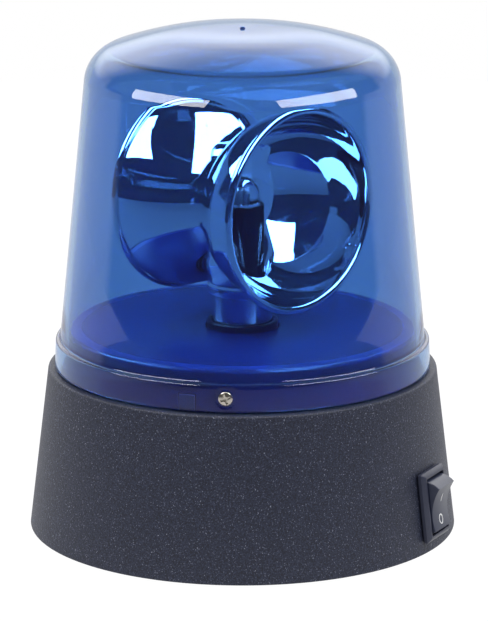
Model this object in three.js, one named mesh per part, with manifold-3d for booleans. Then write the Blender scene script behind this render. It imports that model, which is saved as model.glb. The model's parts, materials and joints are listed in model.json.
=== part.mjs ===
// Rotating beacon lamp, battery powered, modelled as it comes apart on a bench.
// Millimetres, +Z up, the table is z = 0 and the lamp's upright axis is x = y = 0.
// Azimuths run anticlockwise seen from above and start at -Y, so 90 degrees is +X.

import * as THREE from 'three';
import { mergeVertices } from 'three/addons/utils/BufferGeometryUtils.js';
import Module from 'manifold-3d';

const wasm = await Module();
wasm.setup();

// Fits shared by all pieces
const fitGap = 0.35;
const seatGap = 0.3;
const cutOverrun = 1;
const weldTolerance = 0.0001;

// Counts of facets round each kind of form
const bodyFacets = 44;
const bowlFacets = 28;
const tubeFacets = 20;
const smallFacets = 8;
const screwFacets = 8;
const plainFacets = 12;

// Counts of steps along each kind of curve
const chamferSteps = 1;
const edgeSteps = 2;
const crownSteps = 3;
const lipSteps = 3;
const curveSteps = 5;
const innerCurveSteps = 3;
const bowlSteps = 6;

// Base moulding
const baseRadius = 64;
const baseDraftShare = 0.1228;
const footProud = 1;
const shoulderHeight = 49.6;
const deckHeight = 61.8;
const baseWall = 2.4;
const shoulderEdgeRadius = 0.9;
const deckEdgeRadius = 0.5;
const shoulderMargin = 1.9;

// Dome
const domeWall = 1.8;
const domeLift = 0.6;
const skirtHeight = 8;
const skirtDraftShare = 0.045;
const skirtLedge = 1.3;
const skirtEdgeRadius = 0.5;
const domeDraftShare = 0.1005;
const domeRise = 102.6;
const crownRadius = 119.7;
const domeShoulderRadius = 11.4;
const collarGap = 0.4;
const gateRadius = 0.75;
const gateHeight = 0.5;

// Key on the collar that a notch in the dome's foot drops over
const keyAzimuth = 28;
const keyWidth = 4.4;
const keyRise = 4.8;
const keyReach = 1.2;

// Screws that hold the dome
const domeScrewRise = 4.6;
const domeScrewAzimuth = 40;
const domeScrewCount = 3;
const domeScrewHeadRadius = 2.1;
const domeScrewHeadHeight = 1.3;
const domeScrewShankRadius = 1.25;
const domeScrewLength = 7.5;
const domeScrewPointLength = 1.2;
const domeScrewWellRadius = 3.1;
const domeScrewWellDepth = 1.1;
const domeScrewBossRadius = 3.4;

// Reflector
const bowlReachShare = 0.5134;
const bowlMouthShare = 1.147;
const bowlVertexBack = 3.2;
const bowlWall = 1.2;
const bowlLipRadius = 1.2;
const bowlCentreRise = 38.5;
const columnRadius = 11.8;
const columnBore = 10;
const columnTopRise = 17.5;
const columnTopEdgeRadius = 5;
const neckRadius = 10.4;
const neckRise = 9.8;
const neckHeight = 3.4;
const neckFlareHeight = 8;
const neckStepHeight = 0.9;
const tubeRadius = 9.05;
const tubeBore = 7.4;

// Rotor gear, its hub comes up through the deck
const hubRadius = 10.6;
const hubStand = 1.9;
const hubSocketDepth = 3.8;
const hubEdgeRadius = 0.5;
const deckHoleGap = 0.5;
const rotorTeeth = 48;
const rotorModule = 0.7;
const rotorGearThickness = 3.4;
const rotorHeadroom = 0.6;
const rotorBossRadius = 8.4;
const rotorBossHeight = 2.3;

// Idler gear and its pin
const idlerWheelTeeth = 36;
const idlerWheelModule = 0.6;
const idlerWheelThickness = 2.1;
const idlerPinionTeeth = 10;
const idlerPinRadius = 1;
const idlerBoreGap = 0.3;
const pinionTeeth = 10;
const centreRelief = 0.14;
const toothBacklash = 0.16;
const addendumShare = 0.9;
const dedendumShare = 1.25;
const pressureAngle = 20;

// Chassis plate, turned as one group under the deck
const mechanismTurn = 274;
const idlerAngle = 250;
const motorAngle = 351;
const chassisThickness = 2.4;
const chassisNearPostCircle = 26;
const chassisNearPostAngles = [27, 147];
const chassisFarPostInset = 4.2;
const chassisFarPostAngle = 261;
const chassisPostRadius = 2.8;
const chassisLobeRadius = 4.2;
const chassisMotorLobeRadius = 13.6;
const chassisIdlerLobeRadius = 7;
const chassisHubLobeRadius = 15;
const chassisEdgeFacets = 20;

// Small screws of the chassis and the motor
const chassisScrewHeadRadius = 2.4;
const chassisScrewHeadHeight = 1.6;
const chassisScrewShankRadius = 1.1;
const chassisScrewLength = 8;
const chassisScrewPointLength = 1;
const motorScrewHeadRadius = 1.7;
const motorScrewHeadHeight = 0.7;
const motorScrewShankRadius = 0.8;
const motorScrewLength = 3.4;
const motorScrewCircle = 8;
const motorScrewCount = 2;

// Motor
const motorRadius = 12.2;
const motorHeight = 12.3;
const motorWall = 0.8;
const motorEdgeRadius = 1.2;
const motorBossRadius = 3;
const motorBossHeight = 1.4;
const motorShaftRadius = 0.95;
const motorCapThickness = 1.6;
const motorTerminalLength = 3;
const motorTerminalWidth = 2;
const motorTerminalThickness = 0.5;
const motorTerminalCircle = 6.5;
const pinionThickness = 2.2;

// Thrust washer
const washerRadius = 8.6;
const washerThickness = 0.5;

// Lamp post and its lamp
const postRadius = 6.4;
const postBore = 4.9;
const postTopDrop = 1.6;
const postFlangeRadius = 9.5;
const postFlangeThickness = 2;
const postTailLength = 3;
const ledRadius = 5;
const ledFlangeRadius = 5.5;
const ledFlangeHeight = 1.4;
const ledHeight = 8.8;
const ledSeatDepth = 1.1;
const ledLegSide = 0.6;
const ledLegSpread = 2.54;
const ledAnodeLength = 17;
const ledCathodeLength = 14;

// Bottom cover
const coverThickness = 2.6;
const coverRimHeight = 4;
const coverRimWall = 1.6;
const coverRimInset = 2.5;
const coverPostRadius = 3.4;
const coverPostBore = 1.4;
const coverPostAzimuths = [48, 168, 228, 348];
const coverPostDepth = 12;
const coverPostSetback = 0.8;
const coverScrewHeadRadius = 2.8;
const coverScrewHeadHeight = 1.8;
const coverScrewShankRadius = 1.1;
const coverScrewLength = 9;
const coverScrewPointLength = 1;
const coverWellWall = 1.5;
const coverWellHeight = 3.5;
const coverWellFloor = 1.6;

// Rubber feet
const footRadius = 5;
const footSeatDepth = 0.6;
const footEdgeRadius = 0.4;
const footSetback = 5.8;
const footAzimuths = [18, 108, 198, 288];

// Cells and their bay
const cellRadius = 7.1;
const cellLength = 49.2;
const cellNubRadius = 2.7;
const cellNubHeight = 1.3;
const cellEdgeRadius = 0.8;
const cellCount = 3;
const cellPitch = 14.9;
const cellFloorGap = 0.5;
const bayAzimuth = 108;
const bayWall = 1.6;
const baySideGap = 0.5;
const bayEndGap = 2.6;
const contactThickness = 0.5;
const contactWidth = 10;
const contactHeight = 11;
const contactLeafHeight = 6;
const contactLeafProud = 1.5;

// Battery door
const doorThickness = 2.2;
const doorEndMargin = 0.6;
const doorPinRadius = 0.55;
const doorPinLength = 1.4;
const doorPinGap = 0.3;
const doorFingerWidth = 12;
const doorFingerLength = 9;
const doorFingerSlot = 1;
const doorTabReach = 2.2;
const doorGripWidth = 8;
const doorGripDepth = 0.5;
const doorGripLength = 1.2;
const doorGripPitch = 2.2;
const doorGripCount = 3;

// Rocker switch
const switchAzimuth = 108;
const switchRise = 1.7;
const bezelSideFlange = 1;
const bezelEndFlange = 0.95;
const bezelThickness = 2;
const bezelBevel = 0.8;
const switchBodyWidth = 13;
const switchBodyHeight = 18.8;
const switchBodyDepth = 12.5;
const switchBodyBack = 1.2;
const switchSideWall = 0.8;
const switchEndWall = 0.85;
const switchBarbReach = 0.9;
const switchBarbWidth = 5;
const switchBarbLength = 3;
const rockerSideGap = 0.4;
const rockerPivotDepth = 2.6;
const rockerFaceRise = 0.7;
const rockerThrow = 22;
const rockerPinRadius = 1.1;
const rockerPinLength = 0.8;
const rockerPinGap = 0.3;
const rockerWebDepth = 3.2;
const rockerNoseDepth = 5.4;
const rockerNoseHeight = 3;
const terminalWidth = 4.8;
const terminalThickness = 0.8;
const terminalLength = 7.5;
const terminalSpread = 5;
const terminalHoleRadius = 0.9;

// Numbers worked out from the driving sizes
const baseLeanAngle = Math.atan(baseDraftShare);
const baseRimHeight = footProud;
const deckUnderside = deckHeight - baseWall;
const shoulderRadius = baseRadius - baseDraftShare * shoulderHeight;
const skirtBottomRadius = shoulderRadius - shoulderMargin;
const skirtBottom = shoulderHeight + domeLift;
const skirtTop = skirtBottom + skirtHeight;
const skirtTopRadius = skirtBottomRadius - skirtDraftShare * skirtHeight;
const domeFootRadius = skirtTopRadius - skirtLedge;
const domeApex = shoulderHeight + domeRise;
const crownCentre = domeApex - crownRadius;
const deckHoleRadius = hubRadius + deckHoleGap;
const domeScrewHeight = shoulderHeight + domeScrewRise;
const bowlCentre = deckHeight + bowlCentreRise;
const bowlReach = bowlReachShare * domeInnerRadius(bowlCentre);
const bowlMouthInner = bowlMouthShare * bowlReach;
const hubTop = deckHeight + hubStand;
const hubSocketFloor = hubTop - hubSocketDepth;
const rotorGearTop = deckUnderside - rotorHeadroom;
const rotorGearBottom = rotorGearTop - rotorGearThickness;
const rotorBossBottom = rotorGearBottom - rotorBossHeight;
const washerBottom = rotorBossBottom - seatGap - washerThickness;
const chassisTop = washerBottom - seatGap;
const chassisBottom = chassisTop - chassisThickness;
const rotorPitchRadius = rotorTeeth * rotorModule / 2;
const idlerPinionPitchRadius = idlerPinionTeeth * rotorModule / 2;
const idlerWheelPitchRadius = idlerWheelTeeth * idlerWheelModule / 2;
const motorPinionPitchRadius = pinionTeeth * idlerWheelModule / 2;
const idlerDistance = rotorPitchRadius + idlerPinionPitchRadius + centreRelief;
const motorDistance = idlerWheelPitchRadius + motorPinionPitchRadius + centreRelief;
const rotorBore = postRadius + fitGap;
const postTop = bowlCentre - postTopDrop;
const postFlangeTop = chassisBottom - seatGap;
const postBottom = postFlangeTop - postFlangeThickness - postTailLength;
const coverBottom = baseRimHeight;
const coverTop = coverBottom + coverThickness;
const cellAxisHeight = coverTop + cellFloorGap + cellRadius;
const bayHalfLength = (cellLength + cellNubHeight) / 2 + bayEndGap;
const bayHalfWidth = cellPitch * (cellCount - 1) / 2 + cellRadius + baySideGap;
const bayTop = cellAxisHeight + cellRadius + baySideGap + bayWall;
const doorHalfLength = bayHalfLength - doorEndMargin;
const doorHalfWidth = bayHalfWidth - fitGap;
const doorBottom = coverBottom;
const coverWellTop = coverTop + coverWellHeight;
const coverScrewSeat = coverWellTop - coverWellFloor;
const switchHeight = coverTop + switchRise + switchBodyHeight / 2;
const switchWallRadius = baseRadius - baseDraftShare * switchHeight;
const bezelWidth = switchBodyWidth + 2 * bezelSideFlange;
const bezelHeight = switchBodyHeight + 2 * bezelEndFlange;
const rockerWidth = switchBodyWidth - 2 * (switchSideWall + rockerSideGap);
const rockerRadius = switchBodyHeight / 2 - switchEndWall - fitGap;

// Turns degrees into radians
function radians(degrees) {
  return degrees * Math.PI / 180;
}

// Turn about Z that brings +X to an azimuth
function azimuthTurn(azimuth) {
  return radians(azimuth) - Math.PI / 2;
}

// A closed solid from a geometry whose shared vertices are merged first
function solidFrom(geometry) {
  const bare = new THREE.BufferGeometry();
  bare.setAttribute('position', geometry.getAttribute('position').clone());
  if (geometry.index) {
    bare.setIndex(geometry.index.clone());
  }
  const merged = mergeVertices(bare, weldTolerance);
  const corners = merged.index.array;
  const triVerts = [];
  for (let i = 0; i < corners.length; i += 3) {
    const [a, b, c] = [corners[i], corners[i + 1], corners[i + 2]];
    if (a !== b && b !== c && c !== a) {
      triVerts.push(a, b, c);
    }
  }
  const vertProperties = new Float32Array(merged.getAttribute('position').array);
  const mesh = new wasm.Mesh({ numProp: 3, vertProperties, triVerts: new Uint32Array(triVerts) });
  return new wasm.Manifold(mesh);
}

// A geometry from a solid
function geometryFrom(solid) {
  const mesh = solid.getMesh();
  const geometry = new THREE.BufferGeometry();
  geometry.setAttribute('position', new THREE.BufferAttribute(new Float32Array(mesh.vertProperties), 3));
  geometry.setIndex(new THREE.BufferAttribute(new Uint32Array(mesh.triVerts), 1));
  geometry.computeVertexNormals();
  return geometry;
}

// Joins geometries into one
function join(...geometries) {
  return geometryFrom(geometries.map(solidFrom).reduce((whole, next) => whole.add(next)));
}

// Cuts every tool from a body
function cut(body, ...tools) {
  return geometryFrom(tools.map(solidFrom).reduce((whole, tool) => whole.subtract(tool), solidFrom(body)));
}

// Keeps what two geometries share
function common(first, second) {
  return geometryFrom(solidFrom(first).intersect(solidFrom(second)));
}

// Area of a closed outline, positive where it runs anticlockwise
function outlineArea(points) {
  return points.reduce((sum, p, i) => {
    const q = points[(i + 1) % points.length];
    return sum + (p.x * q.y - q.x * p.y) / 2;
  }, 0);
}

// Points on an arc from one angle to another, in degrees
function arc(x, y, radius, from, to, steps) {
  const points = [];
  for (let i = 0; i <= steps; i += 1) {
    const angle = radians(from + (to - from) * i / steps);
    points.push(new THREE.Vector2(x + radius * Math.cos(angle), y + radius * Math.sin(angle)));
  }
  return points;
}

// A point of an outline
function at(x, y) {
  return new THREE.Vector2(x, y);
}

// A closed profile of radius and height, turned about Z
function revolve(profile, facets) {
  const run = outlineArea(profile) > 0 ? profile : [...profile].reverse();
  const geometry = new THREE.LatheGeometry([...run, run[0].clone()], facets);
  return geometry.rotateX(Math.PI / 2);
}

// An upright plate with its foot at a height
function prism(points, foot, depth) {
  const geometry = new THREE.ExtrudeGeometry(new THREE.Shape(points), { depth, bevelEnabled: false });
  return geometry.translate(0, 0, foot);
}

// An upright cylinder or cone with its foot at a height
function post(radiusFoot, radiusTop, foot, height, facets) {
  const geometry = new THREE.CylinderGeometry(radiusTop, radiusFoot, height, facets);
  return geometry.rotateX(Math.PI / 2).translate(0, 0, foot + height / 2);
}

// A box between two corners
function block(x0, x1, y0, y1, z0, z1) {
  const geometry = new THREE.BoxGeometry(x1 - x0, y1 - y0, z1 - z0);
  return geometry.translate((x0 + x1) / 2, (y0 + y1) / 2, (z0 + z1) / 2);
}

// The outline round a set of circles, as a plate that takes in every boss
function outlineRound(circles, steps) {
  const cloud = circles.flatMap((c) => arc(c.x, c.y, c.radius, 0, 360 - 360 / steps, steps - 1));
  cloud.sort((p, q) => p.x - q.x || p.y - q.y);
  const half = (points) => {
    const chain = [];
    for (const p of points) {
      while (chain.length > 1) {
        const [a, b] = chain.slice(-2);
        if ((b.x - a.x) * (p.y - a.y) - (b.y - a.y) * (p.x - a.x) > 0) {
          break;
        }
        chain.pop();
      }
      chain.push(p);
    }
    return chain.slice(0, -1);
  };
  return [...half(cloud), ...half([...cloud].reverse())];
}

// Finishes
function finish(colour, roughness, metalness) {
  return new THREE.MeshStandardMaterial({ color: colour, roughness, metalness });
}

const erodedBlack = finish(0x33363d, 0.62, 0);
const clearBlue = new THREE.MeshStandardMaterial({
  color: 0x2f5fc4,
  roughness: 0.08,
  metalness: 0,
  transparent: true,
  opacity: 0.45,
});
const metallised = finish(0xd8dde6, 0.08, 1);
const blackGlossy = finish(0x17181b, 0.3, 0);
const blackMoulded = finish(0x1f2023, 0.5, 0);
const whiteGear = finish(0xe9e7df, 0.4, 0);
const platedSteel = finish(0xb9bcc0, 0.3, 1);
const brass = finish(0xc9a85a, 0.35, 1);
const clearEpoxy = finish(0xe8eef5, 0.1, 0);
const rubber = finish(0x2a2a2b, 0.85, 0);
const cellSleeve = finish(0x3a4a3e, 0.4, 0);

const lamp = new THREE.Group();

// Adds a named piece to a group
function addPiece(parent, name, geometry, material) {
  const mesh = new THREE.Mesh(geometry, material);
  mesh.name = name;
  parent.add(mesh);
  return mesh;
}

// Adds a group turned about Z by an angle
function addTurned(parent, turn) {
  const group = new THREE.Group();
  group.rotation.z = turn;
  parent.add(group);
  return group;
}

// Dome outline at a depth below its outer face, from the foot of its wall to the apex
function domeOutline(depth, footHeight, steps) {
  const slant = Math.hypot(1, domeDraftShare);
  const wallRadius = (height) => domeFootRadius - domeDraftShare * (height - skirtTop) - depth * slant;
  const lean = THREE.MathUtils.radToDeg(Math.atan(domeDraftShare));
  const reach = crownRadius - domeShoulderRadius;
  const inset = domeFootRadius - domeShoulderRadius * slant + domeDraftShare * (skirtTop - crownCentre);
  const a = 1 + domeDraftShare ** 2;
  const b = inset * domeDraftShare;
  const c = inset ** 2 - reach ** 2;
  const rise = (b + Math.sqrt(b ** 2 - a * c)) / a;
  const filletX = inset - domeDraftShare * rise;
  const filletZ = crownCentre + rise;
  const crownAngle = THREE.MathUtils.radToDeg(Math.atan2(rise, filletX));
  const fillet = arc(filletX, filletZ, domeShoulderRadius - depth, lean, crownAngle, steps);
  const crown = arc(0, crownCentre, crownRadius - depth, crownAngle, 90, crownSteps).slice(1);
  crown[crown.length - 1].x = 0;
  return [at(wallRadius(footHeight), footHeight), ...fillet, ...crown];
}

// Radius of the dome's inner wall at a height
function domeInnerRadius(height) {
  const slant = Math.hypot(1, domeDraftShare);
  return domeFootRadius - domeDraftShare * (height - skirtTop) - domeWall * slant;
}

const collarRadius = (height) => domeInnerRadius(height) - collarGap;
const collarInnerRadius = collarRadius(deckHeight) - baseWall;
const domeScrewSeat = skirtBottomRadius - domeScrewWellDepth;
const domeScrewTip = domeScrewSeat - domeScrewLength;
const coverPostCircle = domeScrewTip - coverPostSetback - coverPostRadius;
const coverRadius = baseRadius - baseDraftShare * coverTop - baseWall - fitGap;
const footCircle = coverRadius - footSetback - footRadius;

// Places on the chassis, in its own turned frame
const chassisPosts = [
  ...chassisNearPostAngles.map((angle) => ({ angle, circle: chassisNearPostCircle })),
  { angle: chassisFarPostAngle, circle: collarInnerRadius - chassisFarPostInset },
].map((p) => at(p.circle * Math.cos(radians(p.angle)), p.circle * Math.sin(radians(p.angle))));
const idlerPlace = at(
  idlerDistance * Math.cos(radians(idlerAngle)),
  idlerDistance * Math.sin(radians(idlerAngle)),
);
const motorPlace = at(
  idlerPlace.x + motorDistance * Math.cos(radians(motorAngle)),
  idlerPlace.y + motorDistance * Math.sin(radians(motorAngle)),
);

// Screw with its head's seat at z = 0, pointing down, with a domed head
function screw(headRadius, headHeight, shankRadius, length, pointLength) {
  const crownRise = headHeight / 3;
  return revolve([
    at(0, headHeight),
    at(headRadius / 2, headHeight - crownRise / 3),
    at(headRadius, headHeight - crownRise),
    at(headRadius, 0),
    at(shankRadius, 0),
    at(shankRadius, pointLength - length),
    at(0, -length),
  ], screwFacets);
}

// Upright screw post, a little wider at its root, which is at its top
function screwPost(x, y, radius, foot, top) {
  const rootShare = 1.12;
  return post(radius, radius * rootShare, foot, top - foot, smallFacets).translate(x, y, 0);
}

// Base housing
function baseHousing() {
  const outer = (height) => baseRadius - baseDraftShare * height;
  const slant = baseWall * Math.hypot(1, baseDraftShare);
  const leanDegrees = THREE.MathUtils.radToDeg(baseLeanAngle);
  const edge = arc(
    outer(shoulderHeight - shoulderEdgeRadius) - shoulderEdgeRadius,
    shoulderHeight - shoulderEdgeRadius,
    shoulderEdgeRadius, leanDegrees, 90, edgeSteps,
  );
  const deckEdge = arc(
    collarRadius(deckHeight) - deckEdgeRadius,
    deckHeight - deckEdgeRadius,
    deckEdgeRadius, 0, 90, edgeSteps,
  );
  const shell = revolve([
    at(outer(baseRimHeight), baseRimHeight),
    ...edge,
    at(collarRadius(shoulderHeight), shoulderHeight),
    ...deckEdge,
    at(deckHoleRadius, deckHeight),
    at(deckHoleRadius, deckUnderside),
    at(collarInnerRadius, deckUnderside),
    at(collarRadius(shoulderHeight) - baseWall, shoulderHeight - baseWall),
    at(outer(shoulderHeight - baseWall) - slant, shoulderHeight - baseWall),
    at(outer(baseRimHeight) - slant, baseRimHeight),
  ], bodyFacets);
  const additions = [];
  const bores = [];
  for (const azimuth of coverPostAzimuths) {
    const angle = azimuthTurn(azimuth);
    const [x, y] = [coverPostCircle * Math.cos(angle), coverPostCircle * Math.sin(angle)];
    const foot = coverWellTop + seatGap;
    additions.push(screwPost(x, y, coverPostRadius, foot, deckUnderside + baseWall / 2));
    bores.push(post(coverPostBore, coverPostBore, foot - cutOverrun, coverPostDepth + cutOverrun, smallFacets)
      .translate(x, y, 0));
  }
  const turn = radians(mechanismTurn);
  for (const place of chassisPosts) {
    const spot = place.clone().rotateAround(at(0, 0), turn);
    const foot = chassisTop + seatGap;
    const bore = chassisScrewShankRadius + seatGap;
    const depth = chassisScrewLength - chassisThickness;
    additions.push(screwPost(spot.x, spot.y, chassisPostRadius, foot, deckUnderside + baseWall / 2));
    bores.push(post(bore, bore, foot - cutOverrun, depth + cutOverrun, smallFacets)
      .translate(spot.x, spot.y, 0));
  }
  for (let i = 0; i < domeScrewCount; i += 1) {
    const angle = azimuthTurn(domeScrewAzimuth + 360 * i / domeScrewCount);
    const bossDepth = collarRadius(domeScrewHeight) - baseWall / 2 - domeScrewTip;
    const boss = new THREE.CylinderGeometry(domeScrewBossRadius, domeScrewBossRadius, bossDepth, smallFacets)
      .rotateZ(Math.PI / 2).translate(domeScrewTip + bossDepth / 2, 0, domeScrewHeight);
    const bore = domeScrewShankRadius + seatGap;
    const run = skirtBottomRadius - domeScrewTip + cutOverrun;
    const hole = new THREE.CylinderGeometry(bore, bore, run, smallFacets)
      .rotateZ(Math.PI / 2).translate(domeScrewTip - cutOverrun + run / 2, 0, domeScrewHeight);
    additions.push(boss.rotateZ(angle));
    bores.push(hole.rotateZ(angle));
  }
  const key = block(
    collarRadius(shoulderHeight) - baseWall / 2, collarRadius(shoulderHeight) + keyReach,
    -keyWidth / 2, keyWidth / 2,
    shoulderHeight - baseWall / 2, shoulderHeight + keyRise,
  );
  additions.push(key.rotateZ(azimuthTurn(keyAzimuth)));
  const opening = block(
    -switchBodyDepth, switchBodyDepth,
    -switchBodyWidth / 2 - fitGap, switchBodyWidth / 2 + fitGap,
    -switchBodyHeight / 2 - fitGap, switchBodyHeight / 2 + fitGap,
  ).rotateY(-baseLeanAngle).translate(switchWallRadius, 0, switchHeight);
  bores.push(opening.rotateZ(azimuthTurn(switchAzimuth)));
  return cut(join(shell, ...additions), ...bores);
}

// Clear dome with its skirt, screw wells and moulding gate
function dome() {
  const inner = domeOutline(domeWall, skirtBottom, innerCurveSteps);
  const outer = domeOutline(0, skirtTop, curveSteps);
  const ledge = arc(
    skirtTopRadius - skirtEdgeRadius, skirtTop - skirtEdgeRadius, skirtEdgeRadius, 0, 90, edgeSteps,
  );
  const shell = revolve([
    ...[...inner].reverse(),
    at(skirtBottomRadius, skirtBottom),
    ...ledge,
    ...outer,
  ], bodyFacets);
  const gate = post(gateRadius, gateRadius, domeApex - domeWall / 2, domeWall / 2 + gateHeight, smallFacets);
  const tools = [];
  for (let i = 0; i < domeScrewCount; i += 1) {
    const angle = azimuthTurn(domeScrewAzimuth + 360 * i / domeScrewCount);
    const bore = domeScrewShankRadius + fitGap;
    const run = skirtBottomRadius - domeScrewTip;
    const hole = new THREE.CylinderGeometry(bore, bore, run, smallFacets)
      .rotateZ(Math.PI / 2).translate(domeScrewTip + run / 2 + cutOverrun, 0, domeScrewHeight);
    const wellRun = domeScrewWellDepth + cutOverrun;
    const well = new THREE.CylinderGeometry(domeScrewWellRadius, domeScrewWellRadius, wellRun, smallFacets)
      .rotateZ(Math.PI / 2).translate(domeScrewSeat + wellRun / 2, 0, domeScrewHeight);
    tools.push(hole.rotateZ(angle), well.rotateZ(angle));
  }
  const notch = block(
    domeInnerRadius(skirtTop) - cutOverrun, collarRadius(shoulderHeight) + keyReach + fitGap,
    -keyWidth / 2 - fitGap, keyWidth / 2 + fitGap,
    skirtBottom - cutOverrun, shoulderHeight + keyRise + fitGap,
  );
  tools.push(notch.rotateZ(azimuthTurn(keyAzimuth)));
  return cut(join(shell, gate), ...tools);
}

// Quarter ellipse of a bowl's section from its vertex to an angle, moved out by an offset
function bowlSection(offset, endAngle) {
  const depth = bowlReach + bowlVertexBack;
  const points = [];
  for (let i = 0; i <= bowlSteps; i += 1) {
    const angle = endAngle * i / bowlSteps;
    const along = bowlMouthInner * Math.cos(angle);
    const across = depth * Math.sin(angle);
    const slant = offset / Math.hypot(along, across);
    points.push(at(
      bowlMouthInner * Math.sin(angle) + across * slant,
      bowlReach - depth * Math.cos(angle) - along * slant,
    ));
  }
  return points;
}

// One bowl of the reflector as a solid body, its axis along +X
function bowlBody() {
  const lipCentre = bowlMouthInner + bowlLipRadius;
  const wallEnd = Math.acos(2 * bowlLipRadius / (bowlReach + bowlVertexBack));
  const points = [
    ...bowlSection(bowlWall, wallEnd),
    ...arc(lipCentre, bowlReach - bowlLipRadius, bowlLipRadius, -90, 90, lipSteps),
    at(0, bowlReach),
  ];
  return revolve(points, bowlFacets).rotateY(Math.PI / 2);
}

// Hollow of one bowl, open past the mouth
function bowlHollow() {
  const over = bowlReach + cutOverrun;
  const points = bowlSection(0, Math.PI / 2);
  points.push(at(bowlMouthInner + bowlLipRadius, over));
  points.push(at(0, over));
  return revolve(points, bowlFacets).rotateY(Math.PI / 2);
}

// Reflector, two bowls on an upright column that narrows to a tube
function reflector() {
  const topHeight = bowlCentre + columnTopRise;
  const neckFoot = deckHeight + neckRise;
  const neckTop = neckFoot + neckHeight;
  const flareTop = neckTop + neckFlareHeight;
  const tubeFoot = hubSocketFloor + seatGap;
  const columnWall = columnRadius - columnBore;
  const edge = columnTopEdgeRadius;
  const column = revolve([
    at(0, tubeFoot),
    at(tubeRadius, tubeFoot),
    at(tubeRadius, neckFoot),
    at(neckRadius, neckFoot + neckStepHeight),
    at(neckRadius, neckTop),
    at(columnRadius, flareTop),
    ...arc(columnRadius - edge, topHeight - edge, edge, 0, 90, crownSteps),
    at(0, topHeight),
  ], tubeFacets);
  const bore = revolve([
    at(0, tubeFoot - cutOverrun),
    at(tubeBore, tubeFoot - cutOverrun),
    at(tubeBore, neckTop),
    at(columnBore, flareTop),
    ...arc(columnRadius - edge, topHeight - edge, edge - columnWall, 0, 90, crownSteps),
    at(0, topHeight - columnWall),
  ], tubeFacets);
  const right = bowlBody().translate(0, 0, bowlCentre);
  const left = right.clone().rotateZ(Math.PI);
  const rightHollow = bowlHollow().translate(0, 0, bowlCentre);
  const leftHollow = rightHollow.clone().rotateZ(Math.PI);
  return cut(join(column, right, left), bore, rightHollow, leftHollow);
}

// Outline of a spur gear with involute flanks
function gearOutline(teeth, module) {
  const pitch = teeth * module / 2;
  const base = pitch * Math.cos(radians(pressureAngle));
  const tip = pitch + module * addendumShare;
  const root = pitch - module * dedendumShare;
  const involute = (angle) => Math.tan(angle) - angle;
  const halfAngle = (radius) => {
    const here = Math.acos(Math.min(base / Math.max(radius, base), 1));
    const backlash = toothBacklash / (2 * pitch);
    return Math.PI / (2 * teeth) + involute(radians(pressureAngle)) - involute(here) - backlash;
  };
  const flankFoot = Math.max(base, root + module * (dedendumShare - 1));
  const wheelTeeth = 24;
  const stations = teeth < wheelTeeth ? [root, flankFoot, (flankFoot + tip) / 2, tip] : [root, tip];
  const points = [];
  for (let i = 0; i < teeth; i += 1) {
    const middle = 2 * Math.PI * i / teeth;
    for (const radius of stations) {
      const angle = middle - halfAngle(radius);
      points.push(at(radius * Math.cos(angle), radius * Math.sin(angle)));
    }
    for (const radius of [...stations].reverse()) {
      const angle = middle + halfAngle(radius);
      points.push(at(radius * Math.cos(angle), radius * Math.sin(angle)));
    }
  }
  return points;
}

// Rotor gear with its hub, the socket for the reflector and the bearing bore
function rotorGear() {
  const gear = prism(gearOutline(rotorTeeth, rotorModule), rotorGearBottom, rotorGearThickness);
  const hub = revolve([
    at(0, rotorBossBottom),
    at(rotorBossRadius, rotorBossBottom),
    at(rotorBossRadius, rotorGearBottom + rotorGearThickness / 2),
    at(hubRadius, rotorGearBottom + rotorGearThickness / 2),
    ...arc(hubRadius - hubEdgeRadius, hubTop - hubEdgeRadius, hubEdgeRadius, 0, 90, edgeSteps),
    at(0, hubTop),
  ], tubeFacets);
  const bore = revolve([
    at(0, rotorBossBottom - cutOverrun),
    at(rotorBore, rotorBossBottom - cutOverrun),
    at(rotorBore, hubSocketFloor),
    at(tubeRadius + fitGap, hubSocketFloor),
    at(tubeRadius + fitGap, hubTop + cutOverrun),
    at(0, hubTop + cutOverrun),
  ], tubeFacets);
  return cut(join(gear, hub), bore);
}

// Compound idler, a wheel driven by the motor and a pinion that drives the rotor
function idlerGear() {
  const wheelFoot = chassisTop + seatGap;
  const pinionFoot = wheelFoot + idlerWheelThickness;
  const pinionHeight = rotorGearTop - pinionFoot;
  const bore = idlerPinRadius + idlerBoreGap;
  const wheel = prism(gearOutline(idlerWheelTeeth, idlerWheelModule), wheelFoot, idlerWheelThickness);
  const overlap = idlerWheelThickness / 2;
  const pinionOutline = gearOutline(idlerPinionTeeth, rotorModule);
  const pinion = prism(pinionOutline, pinionFoot - overlap, pinionHeight + overlap);
  const holeRun = rotorGearTop - wheelFoot + 2 * cutOverrun;
  const hole = post(bore, bore, wheelFoot - cutOverrun, holeRun, smallFacets);
  return cut(join(wheel, pinion), hole);
}

function idlerPin() {
  const headShare = 1.4;
  const headRadius = idlerPinRadius * headShare;
  const top = deckUnderside - seatGap;
  const headTop = chassisBottom - seatGap;
  return revolve([
    at(0, headTop - idlerPinRadius),
    at(headRadius, headTop - idlerPinRadius),
    at(headRadius, headTop),
    at(idlerPinRadius, headTop),
    at(idlerPinRadius, top),
    at(0, top),
  ], smallFacets);
}

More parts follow.
